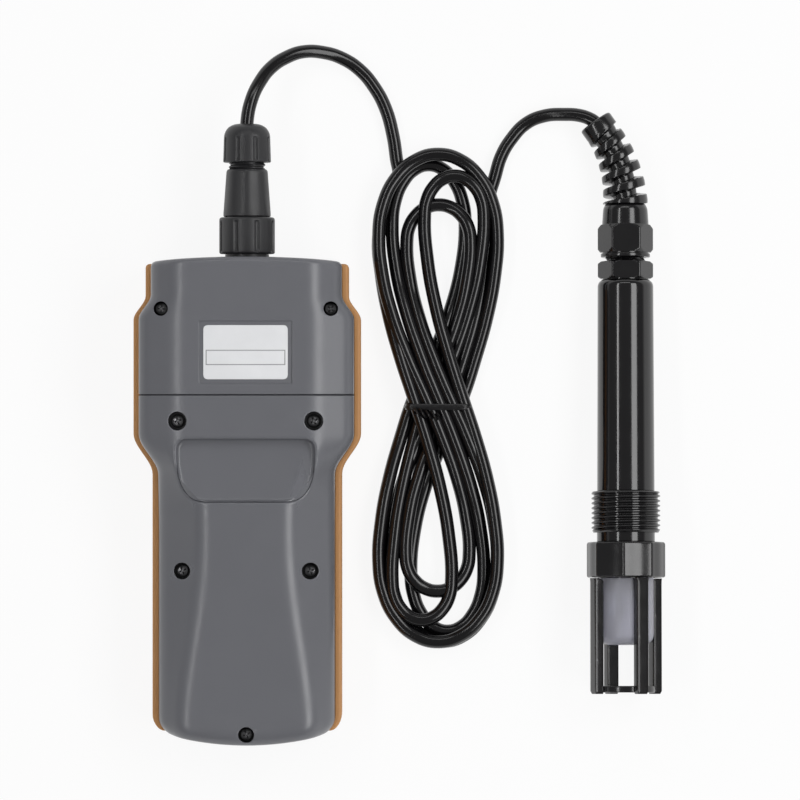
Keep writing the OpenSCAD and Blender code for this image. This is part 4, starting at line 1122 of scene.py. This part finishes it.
def screw_shape(recess, tip):
    """A pan-head screw, its seat at height 0; its cross recess is cut afterwards."""
    radius, high = recess.screw_head / 2, recess.screw_head_height
    crest, root, pitch = 1.15, 0.85, 0.8
    profile = filleted([
        (0, high, 0), (radius * 0.55, high, 0), (radius, high - 0.35, 0.35), (radius, 0.05, 0.05),
        (crest, 0.05, 0)], 4, closed=False)
    turns = [Vector((crest if k % 2 else root, -0.4 - k * pitch / 2)) for k in range(int(tip / pitch * 2))]
    profile += turns + [Vector((0, -tip))]
    return Shape().turned(profile, 32, closed=False)


class METER_OT_screws(bpy.types.Operator):
    """Turns the seven cross-head screws"""
    bl_idname = "meter.screws"
    bl_label = "Screws"

    def execute(self, context):
        form, recess = CaseForm(), sizes("meter_recess")
        case_screws, cover_screws = form.screw_places()
        high, slot_long, slot_wide, slot_depth = recess.screw_head_height, 1.25, 0.32, 1
        for places, node, body, tip_height in (
                (case_screws, "case_screws", "meter", 4.4),
                (cover_screws, "cover_screws", "battery_cover", 13.0)):
            shape, slots = Shape(), Shape()
            for place in places:
                seat = form.seat(place) + 0.1
                turn = Matrix.Rotation(place[0] * 0.07 + 0.4, 4, "Z")
                spot = Matrix.Translation((place[0], -place[1], seat)) @ turn
                shape.add(screw_shape(recess, seat - tip_height), spot)
                for a, b in ((slot_long, slot_wide), (slot_wide, slot_long)):
                    slots.add(Shape().grid([
                        [(k * a * x, k * b * y, z) for x, y in BOX_CORNERS]
                        for k, z in ((0.55, high - slot_depth), (1.0, high + 0.2))], ends=True), spot)
            screws = linked(node + "_heads", shape)
            combined(screws, "DIFFERENCE", [linked("cross", slots)])
            screws.data.transform(Matrix.Translation(METER.translation * MM))
            finished(screws, body, "screw_steel", (node,))
        return {"FINISHED"}


# The plug

def plug_levels(p):
    """Places up the plug from the case's top edge."""
    flange, gap, thread = 1.1, 0.2, 2.4
    ring = flange + gap
    body = ring + p.ring_length + gap
    neck = body + p.body_length
    cap = neck + thread
    return SimpleNamespace(ring=ring, body=body, neck=neck, cap=cap, top=cap + p.cap_length)


def fluted(radius, turn, count, depth, width, low, high, fade=0.9):
    """A radius with rounded grooves between two heights."""
    def form(angle, here, height):
        if here < radius * 0.82:
            return here
        lane = math.tau / count
        away = (angle - turn + lane / 2) % lane - lane / 2
        inside = min(ease(low, low + fade, height), 1 - ease(high - fade, high, height))
        cut = max(0, 1 - (away * radius / (width / 2)) ** 2) ** 0.5
        return here - depth * cut * inside
    return form


def threaded(radius, depth, pitch, low, high, fade):
    """A radius with a helical thread between two heights."""
    def form(angle, here, height):
        if here < radius - 0.01:
            return here
        turn = (height / pitch - angle / math.tau) % 1
        crest = ease(0.0, 0.32, turn) * (1 - ease(0.5, 0.82, turn))
        live = min(ease(low, low + fade, height), 1 - ease(high - fade, high, height))
        return here - depth * (1 - crest) * live
    return form


class METER_OT_plug(bpy.types.Operator):
    """Turns the grooved coupling ring, the tapered plug body and the domed cap nut"""
    bl_idname = "meter.plug"
    bl_label = "Plug"

    def execute(self, context):
        p = sizes("meter_plug")
        at = plug_levels(p)
        place = plug_place()
        barrel, waist = 7.06, 6.56
        flute_count, flute_turn = 8, math.radians(22.5)
        top = at.ring + p.ring_length
        ring = filleted([
            (barrel, at.ring, 0.2), (p.ring / 2, at.ring, 0.8), (p.ring / 2, top, 1.1), (waist, top, 0.3),
            (waist, top - 2.2, 0), (8.3, top - 2.2, 0), (8.3, at.ring + 8.6, 0),
            (barrel, at.ring + 8.6, 0)], 6)
        flutes = fluted(
            p.ring / 2, flute_turn, flute_count, depth=0.6, width=1.7, low=at.ring + 0.3, high=top - 1.0)
        shape = Shape().turned(divided(ring, 0.5), 384, flutes)
        piece = linked("coupling_ring_form", shape, place)
        finished(piece, "coupling_ring", "connector_black", ("coupling_ring",))

        body = filleted([
            (4.4, at.ring + 8.8, 0), (8.2, at.ring + 8.8, 0.2), (8.2, top - 2.4, 0), (6.5, top - 2.4, 0),
            (6.5, at.body, 0), (p.body / 2, at.body, 0.5), (p.body / 2 - 0.05, at.body + 1.2, 0.5),
            (p.body_small / 2 + 0.15, at.neck - 0.6, 0.5), (p.body_small / 2 - 0.3, at.neck, 0.3),
            (6.4, at.neck, 0), (6.4, at.cap - 0.2, 0), (5.4, at.cap - 0.2, 0.2),
            (5.4, at.cap + 4.6, 0.2), (2.6, at.cap + 4.6, 0.2), (2.6, at.neck - 8, 0),
            (4.4, at.neck - 8, 0)], 5)
        thread = threaded(6.4, depth=0.7, pitch=1.5, low=at.neck - 0.2, high=at.cap + 0.2, fade=0.3)

        def body_form(angle, here, height):
            if height > at.neck + 0.05:
                return thread(angle, here, height)
            if here < 6.9:
                return here
            wave = 0.5 - 0.5 * math.cos(flute_count * angle)
            return here - 0.14 * wave * ease(at.body, at.body + 3, height)

        shape = Shape().turned(divided(body, 0.4), 192, body_form)
        finished(linked("plug_body_form", shape, place), "meter", "connector_black", ("plug_body",))

        cap = filleted([
            (5.46, at.cap, 0.2), (p.cap / 2, at.cap, 0.5), (p.cap / 2 - 0.35, at.top - 2.6, 2.2),
            (p.cap / 2 - 3.1, at.top - 0.15, 2), (2.6, at.top, 0.4), (2.6, at.top - 3.5, 0),
            (5.46, at.top - 3.5, 0)], 8)
        flutes = fluted(
            p.cap / 2, flute_turn, flute_count, depth=0.55, width=1.5, low=at.cap - 0.2, high=at.top - 4.2,
            fade=1.2)
        shape = Shape().turned(divided(cap, 0.5), 384, flutes)
        finished(linked("cap_nut_form", shape, place), "cap_nut", "connector_black", ("cap_nut",))
        return {"FINISHED"}


# The probe

def hexagonal(across, low, high, chamfer=0.9):
    """A hexagon whose corners are turned off at both ends."""
    flat = across / 2 * math.cos(math.pi / 6)

    def form(angle, here, height):
        if here < flat - 0.3:
            return here
        away = (angle % (math.pi / 3)) - math.pi / 6
        side = flat / math.cos(away)
        end = min(height - low, high - height)
        turned_off = flat + 0.25 + max(0, end) / chamfer * (across / 2 - flat - 0.05)
        return min(side, turned_off, across / 2 - 0.12, here)
    return form


def bend_place(probe, along):
    """Centre of the bend at a length along it, and the angle turned."""
    whole = probe.bend * math.radians(BEND_ANGLE)
    angle = min(along, whole) / probe.bend
    past = max(0, along - whole)
    return Vector((-probe.bend * (1 - math.cos(angle)) - past * math.sin(angle), 0,
                   probe.bend * math.sin(angle) + past * math.cos(angle))), angle


def coil_way(turn, angle):
    """Direction out of the bent core at a turn round it, where the bend has turned by an angle."""
    return Vector((math.cos(turn) * math.cos(angle), math.sin(turn), math.cos(turn) * math.sin(angle)))


def coil_shape(probe, start):
    """The spiral strip of the strain relief, wound round its bent core, with the collar at its top."""
    core, bore, collar = 4.1, 2.6, 4.6
    whole = probe.bend * math.radians(BEND_ANGLE)
    pitch = whole / COIL_TURNS
    big, small = probe.coil / 2, probe.coil_top / 2
    stops = [whole * i / (COIL_TURNS * 26) for i in range(COIL_TURNS * 26 + 1)]
    ends = [whole + k for k in (0.15, 0.3, 0.6, collar - 0.9, collar - 0.5, collar - 0.2, collar)]
    turns = round_angles(72)
    rows = []
    for along in stops + ends:
        centre, angle = bend_place(probe, along)
        row = []
        for turn in turns:
            if along > whole:
                radius = small - rounding(collar - (along - whole), 0.9) - rounding(along - whole, 0.4) * 0.5
            else:
                part = (along / pitch - turn / math.tau) % 1
                fin = ease(0, 0.09, part) * (1 - ease(0.58, 0.67, part))
                crown = 0.14 * math.sin(math.pi * min(1, max(0, (part - 0.05) / 0.57)))
                radius = core + (mix(big, small, along / whole) - core - 0.14 + crown) * fin
                rise = ease(whole - 0.9 * pitch, whole, along)
                radius = mix(radius, max(radius, small * 0.8), rise)
            row.append(centre + coil_way(turn, angle) * radius + Vector((0, 0, start)))
        rows.append(row)
    inner = []
    for i in range(13):
        centre, angle = bend_place(probe, (whole + collar) * i / 12)
        inner.append([centre + coil_way(turn, angle) * bore + Vector((0, 0, start)) for turn in turns])
    return Shape().grid(rows + inner[::-1], closed_rows=True)


class METER_OT_strain_relief(bpy.types.Operator):
    """Forms the gland's nut and the spiral strain relief above it"""
    bl_idname = "meter.strain_relief"
    bl_label = "Strain relief"

    def execute(self, context):
        p = sizes("meter_probe")
        levels = probe_levels(p)
        nut, shoulder, bend = levels.nut, levels.shoulder, levels.bend
        flange = nut + 1.3
        profile = filleted([
            (7.06, nut, 0), (8.6, nut, 0.4), (8.6, flange, 0.4), (7.9, flange, 0), (7.9, flange + 0.4, 0),
            (p.hexagon / 2, flange + 0.4, 0.1), (p.hexagon / 2, shoulder, 0.3), (8.1, shoulder, 0.2),
            (8.1, shoulder + 0.5, 0.2), (p.coil / 2 - 0.2, bend - 1.6, 0.8),
            (p.coil / 2 - 1, bend + 0.05, 0.4), (2.9, bend + 0.05, 0), (2.9, shoulder - 2, 0),
            (7.06, shoulder - 2, 0)], 5)
        hexed = hexagonal(p.hexagon, flange + 0.2, shoulder, chamfer=1.7)

        def form(angle, here, height):
            on_hexagon = flange + 0.3 < height < shoulder + 0.001 and here > HEX_SHOULDER
            return hexed(angle, here, height) if on_hexagon else here

        shape = Shape().turned(divided(profile, 0.5), 288, form)
        shape.add(coil_shape(p, bend))
        piece = linked("strain_relief_form", shape, probe_place())
        finished(piece, "meter", "gland_black", ("strain_relief",))
        return {"FINISHED"}


def probe_levels(p):
    """Places up the probe from the collar's upper face."""
    sleeve = p.neck_length + p.thread_length
    tube = sleeve + p.tube_length
    hexagon = tube + 0.3
    gap = hexagon + p.hexagon_length
    nut = gap + 1.5
    shoulder = nut + p.nut_length
    return SimpleNamespace(sleeve=sleeve, tube=tube, hexagon=hexagon, gap=gap, nut=nut, shoulder=shoulder,
                           bend=shoulder + p.shoulder_length)


class METER_OT_probe(bpy.types.Operator):
    """Turns the gland body, the tube and the threaded sleeve"""
    bl_idname = "meter.probe"
    bl_label = "Probe body"

    def execute(self, context):
        p = sizes("meter_probe")
        at = probe_levels(p)
        place = probe_place()
        inner = p.tube / 2 - 1.9
        profile = filleted([
            (2.6, at.tube - 8, 0), (inner, at.tube - 8, 0.3), (inner, at.hexagon, 0),
            (p.hexagon / 2, at.hexagon, 0.2), (p.hexagon / 2, at.gap, 0.2), (7, at.gap, 0),
            (7, at.nut + 5.8, 0.3), (2.6, at.nut + 5.8, 0.3)], 4)
        hexed = hexagonal(p.hexagon, at.hexagon, at.gap)
        cut = threaded(7, depth=0.6, pitch=1.5, low=at.gap, high=at.nut + 5.6, fade=0.3)

        def form(angle, here, height):
            if height > at.gap + 0.001:
                return cut(angle, here, height)
            on_hexagon = height >= at.hexagon and here > HEX_SHOULDER
            return hexed(angle, here, height) if on_hexagon else here

        gland = Shape().turned(divided(profile, 0.4), 288, form)
        finished(linked("gland_body_form", gland, place), "meter", "gland_black", ("gland_body",))

        tube = filleted([
            (inner + 0.1, at.sleeve, 0.1), (p.tube / 2 + 0.2, at.sleeve, 0.25),
            (p.tube / 2 + 0.1, at.sleeve + 24, 4), (p.tube / 2 - 0.1, at.tube - 0.4, 2.2),
            (inner + 0.1, at.tube, 0.2)], 8)
        piece = linked("probe_tube_form", Shape().turned(divided(tube, 2.5), 128), place)
        finished(piece, "meter", "probe_black", ("probe_tube",))

        carrier, seat, ring = 7.9, 9.5, -4
        low, high = p.neck_length, at.sleeve - 0.1
        sleeve = filleted([
            (carrier + 0.1, -p.collar_length + 0.4, 0), (seat, -p.collar_length + 0.4, 0.4),
            (seat, ring - 1, 0), (seat - 1.1, ring - 1, 0), (seat - 1.1, ring + 1, 0), (seat, ring + 1, 0),
            (seat, 0.1, 0), (p.neck / 2, 0.1, 0.15), (p.neck / 2, low, 0), (p.thread / 2 - 0.7, low, 0.1),
            (p.thread / 2, low + 1.1, 0.3), (p.thread / 2, high - 0.5, 0.4), (p.thread / 2 - 0.5, high, 0.2),
            (inner, high, 0), (inner, high + 6, 0.3), (carrier - 1.6, high + 6, 0), (carrier - 1.6, 2, 0),
            (carrier + 0.1, 2, 0)], 4)
        thread = threaded(p.thread / 2 - 1.0, depth=0.85, pitch=1.7, low=low + 0.6, high=high - 0.3, fade=0.8)
        piece = linked("threaded_sleeve_form", Shape().turned(divided(sleeve, 0.16), 128, thread), place)
        finished(piece, "meter", "probe_black", ("threaded_sleeve",), sharp=80)
        return {"FINISHED"}


def rib_way(number):
    """Turns a rib or a bar to its quarter of the guard."""
    return Matrix.Rotation(math.radians(90 * number - RIB_TURN), 4, "Z")


class METER_OT_guard(bpy.types.Operator):
    """Moulds the guard: eight-sided collar, four ribs, end ring and crossed bars"""
    bl_idname = "meter.guard"
    bl_label = "Probe guard"

    def execute(self, context):
        p = sizes("meter_probe")
        bore, cage_bore = 9.59, p.cup / 2 + 0.25
        foot = -p.collar_length - p.cage
        crown = 0.3
        side = p.collar / 2 * math.cos(math.pi / 8) - crown
        turn = math.radians(90 - COLLAR_TURN)

        def octagon(angle, here, height):
            if here < side - 1.6:
                return here
            away = (angle - turn) % (math.pi / 4) - math.pi / 8
            flat = p.collar / 2 - side / math.cos(away) - crown * math.cos(4 * away) ** 2
            return min(here - flat * ease(side - 1.6, side - 0.6, here), p.collar / 2 - 0.25)

        profile = filleted([
            (bore, -9.0, 0), (cage_bore, -9.0, 0), (cage_bore, -p.collar_length, 0.2),
            (p.collar / 2, -p.collar_length, 0.9), (p.collar / 2, 0, 1.1), (p.collar / 2 - 2.4, 0, 0.3),
            (p.collar / 2 - 2.9, -0.9, 0.3), (bore, -0.9, 0.2)], 6)
        guard = Shape().turned(divided(profile, 0.6), 192, octagon)
        ring_in, ring_out, ring_foot, ring_top = 7.2, cage_bore + 0.2, foot + 0.5, foot + p.end_ring
        ring = filleted([
            (ring_in, ring_foot, 0.4), (ring_out, ring_foot, 0.5), (ring_out, ring_top, 0.5),
            (ring_in, ring_top, 0.4)], 5)
        guard.add(Shape().turned(divided(ring, 0.6), 128))
        rib_top, rib_steps = -p.collar_length + 0.8, 40
        for i in range(4):
            rows = []
            for j in range(rib_steps + 1):
                t = j / rib_steps
                z = mix(foot, rib_top, t)
                end = rounding(z - foot, 0.4)
                outer = p.rib - end
                half = p.rib_width / 2 - end + 0.5 * ease(0.94, 1, t)
                section = divided(filleted([
                    (cage_bore - 0.1, -half, 0.3), (outer, -half, 0.4), (outer, half, 0.4),
                    (cage_bore - 0.1, half, 0.3)], 4), 0.9)
                rows.append([(q.x, q.y, z) for q in section])
            guard.add(Shape().grid(rows, ends=True), rib_way(i))
        bar_length, bar_width, bar_edge = 15.6, 2.2, 0.3
        for i in range(2):
            bar = rounded_box(bar_length / 2, bar_width / 2, bar_edge, 4)
            guard.add(Shape().prism(bar, ring_foot + 0.2, ring_top - 0.2, bar_edge), rib_way(i))
        piece = linked("probe_guard_form", guard, probe_place())
        finished(piece, "probe_guard", "gland_black", ("probe_guard",))
        return {"FINISHED"}


class METER_OT_cup(bpy.types.Operator):
    """Turns the clear storage cup round the sensors"""
    bl_idname = "meter.cup"
    bl_label = "Storage cup"

    def execute(self, context):
        p = sizes("meter_probe")
        radius, inner, seat = p.cup / 2, p.cup / 2 - p.cup_wall, 7.96
        foot = -p.collar_length - 0.2 - p.cup_length
        top = foot + p.cup_length
        profile = filleted([
            (0, foot, 0), (radius, foot, 4.2), (radius, top, 0.25), (seat, top, 0.2), (seat, top - 3.4, 0.2),
            (inner, top - 4, 0.2), (inner, foot + 1.4, 3.4), (0, foot + 1.4, 0)], 8, closed=False)
        cup = Shape().turned(divided(profile, 1.2, closed=False), 96, closed=False)
        piece = linked("storage_cup_form", cup, probe_place())
        finished(piece, "storage_cup", "cup_clear", ("storage_cup",))
        return {"FINISHED"}


class METER_OT_keys(bpy.types.Operator):
    """Moulds the six dished keys of the face"""
    bl_idname = "meter.keys"
    bl_label = "Keys"

    def execute(self, context):
        for i in range(6):
            node = f"key_{i + 1}"
            low, high = corners(node)
            middle = (low + high) / 2
            radius = (high.x - low.x) / 2
            cap, dish, foot, flange, stem = radius - 1.2, 0.35, high.z - 0.3, high.z - 1.3, 2
            profile = filleted([
                (0, low.z + dish, 0), (cap * 0.5, low.z + dish * 0.75, 1), (cap - 0.5, low.z, 0.3),
                (cap, low.z + 0.4, 0.3), (cap, flange, 0.1), (radius, flange, 0.1), (radius, foot, 0.2),
                (stem, foot, 0.1), (stem, high.z, 0.1), (0, high.z, 0)], 5, closed=False)
            key = Shape().turned(profile, 64, closed=False)
            piece = linked(node + "_cap", key, Matrix.Translation((middle.x, middle.y, 0)))
            finished(piece, node, "key_grey", (node,))
        return {"FINISHED"}


class METER_OT_stage(bpy.types.Operator):
    """Sets out the pale floor, the soft lights and the white surroundings"""
    bl_idname = "meter.stage"
    bl_label = "Stage"

    def execute(self, context):
        floor_half, drop, shadow_share, room_light = 3000, -0.15, 0.1, 0.24
        sheet = Shape()
        sheet.points = [Vector((floor_half * x, floor_half * y, drop)) for x, y in BOX_CORNERS]
        sheet.faces = [(0, 1, 2, 3)]
        floor = linked("studio_floor", sheet)
        floor.data.materials.append(bpy.data.materials.new("floor_paper"))
        bench = Bench(floor.data.materials[0])
        paper = bench.noise(40, 3)
        tint = context.scene.meter_colours.floor
        matt = bench.node("ShaderNodeBsdfPrincipled", {}, {
            "Base Color": bench.blend(paper, shade(tint, 0.98), shade(tint, 1.02)), "Roughness": 0.8,
            "Specular IOR Level": 0.1})
        lit = bench.node("ShaderNodeEmission", {}, {"Color": (1, 1, 1, 1), "Strength": 1.0})
        bench.finish(bench.node("ShaderNodeMixShader", {}, {
            0: bench.backdrop_rays() * (1 - shadow_share), 1: matt, 2: lit}))

        # The room is white near the horizon, where the background is seen, and dim overhead
        context.scene.world = bpy.data.worlds.new("studio_world")
        bench = Bench(context.scene.world, "ShaderNodeOutputWorld")
        way = bench.node("ShaderNodeTexCoord", {}, {}, "Generated")
        rise = bench.node("ShaderNodeSeparateXYZ", {}, {0: way}, "Z")
        near_horizon = ((0.3 - rise) / 0.18).clamped()
        dim, white = [bench.node("ShaderNodeBackground", {}, {"Color": (1, 1, 1, 1), "Strength": strength})
                      for strength in (room_light, 1.0)]
        bench.finish(bench.node("ShaderNodeMixShader", {}, {
            0: near_horizon * bench.backdrop_rays(), 1: dim, 2: white}))

        table_middle = Vector((0, 0, 0.02))
        for name, place, wide, long, power in (
                ("left_softbox", (-0.5, 0.0, 0.87), 0.1, 1.3, 2.8),
                ("right_softbox", (0.63, 0.0, 0.86), 0.4, 1.3, 7.2),
                ("top_softbox", (0.0, 0.85, 0.9), 0.2, 0.8, 1.2)):
            data = bpy.data.lights.new(name, "AREA")
            data.shape = "RECTANGLE"
            data.size = wide
            data.size_y = long
            data.energy = power
            lamp = bpy.data.objects.new(name, data)
            lamp.location = place
            lamp.visible_camera = False
            lamp.rotation_euler = (table_middle - Vector(place)).to_track_quat("-Z", "X").to_euler()
            context.scene.collection.objects.link(lamp)
        context.scene.view_settings.view_transform = "Standard"
        return {"FINISHED"}


STEPS = [
    METER_OT_camera, METER_OT_materials, METER_OT_cord, METER_OT_rear_shell, METER_OT_battery_cover,
    METER_OT_bumpers, METER_OT_label, METER_OT_screws, METER_OT_plug, METER_OT_strain_relief, METER_OT_probe,
    METER_OT_guard, METER_OT_cup, METER_OT_keys, METER_OT_stage]


class METER_PT_panel(bpy.types.Panel):
    """Lists the steps that build the meter, in order"""
    bl_idname = "METER_PT_panel"
    bl_label = "Water Meter"
    bl_space_type = "VIEW_3D"
    bl_region_type = "UI"
    bl_category = "Water Meter"

    def draw(self, context):
        for step in STEPS:
            self.layout.operator(step.bl_idname)


def register():
    for group in GROUPS.values():
        bpy.utils.register_class(group)
    for name, group in GROUPS.items():
        setattr(bpy.types.Scene, name, bpy.props.PointerProperty(type=group))
    for step in STEPS + [METER_PT_panel]:
        bpy.utils.register_class(step)


def unregister():
    for step in reversed(STEPS + [METER_PT_panel]):
        bpy.utils.unregister_class(step)
    for name in GROUPS:
        delattr(bpy.types.Scene, name)
    for group in GROUPS.values():
        bpy.utils.unregister_class(group)


def main():
    register()
    for step in STEPS:
        family, name = step.bl_idname.split(".")
        getattr(getattr(bpy.ops, family), name)()


if __name__ == "__main__":
    main()
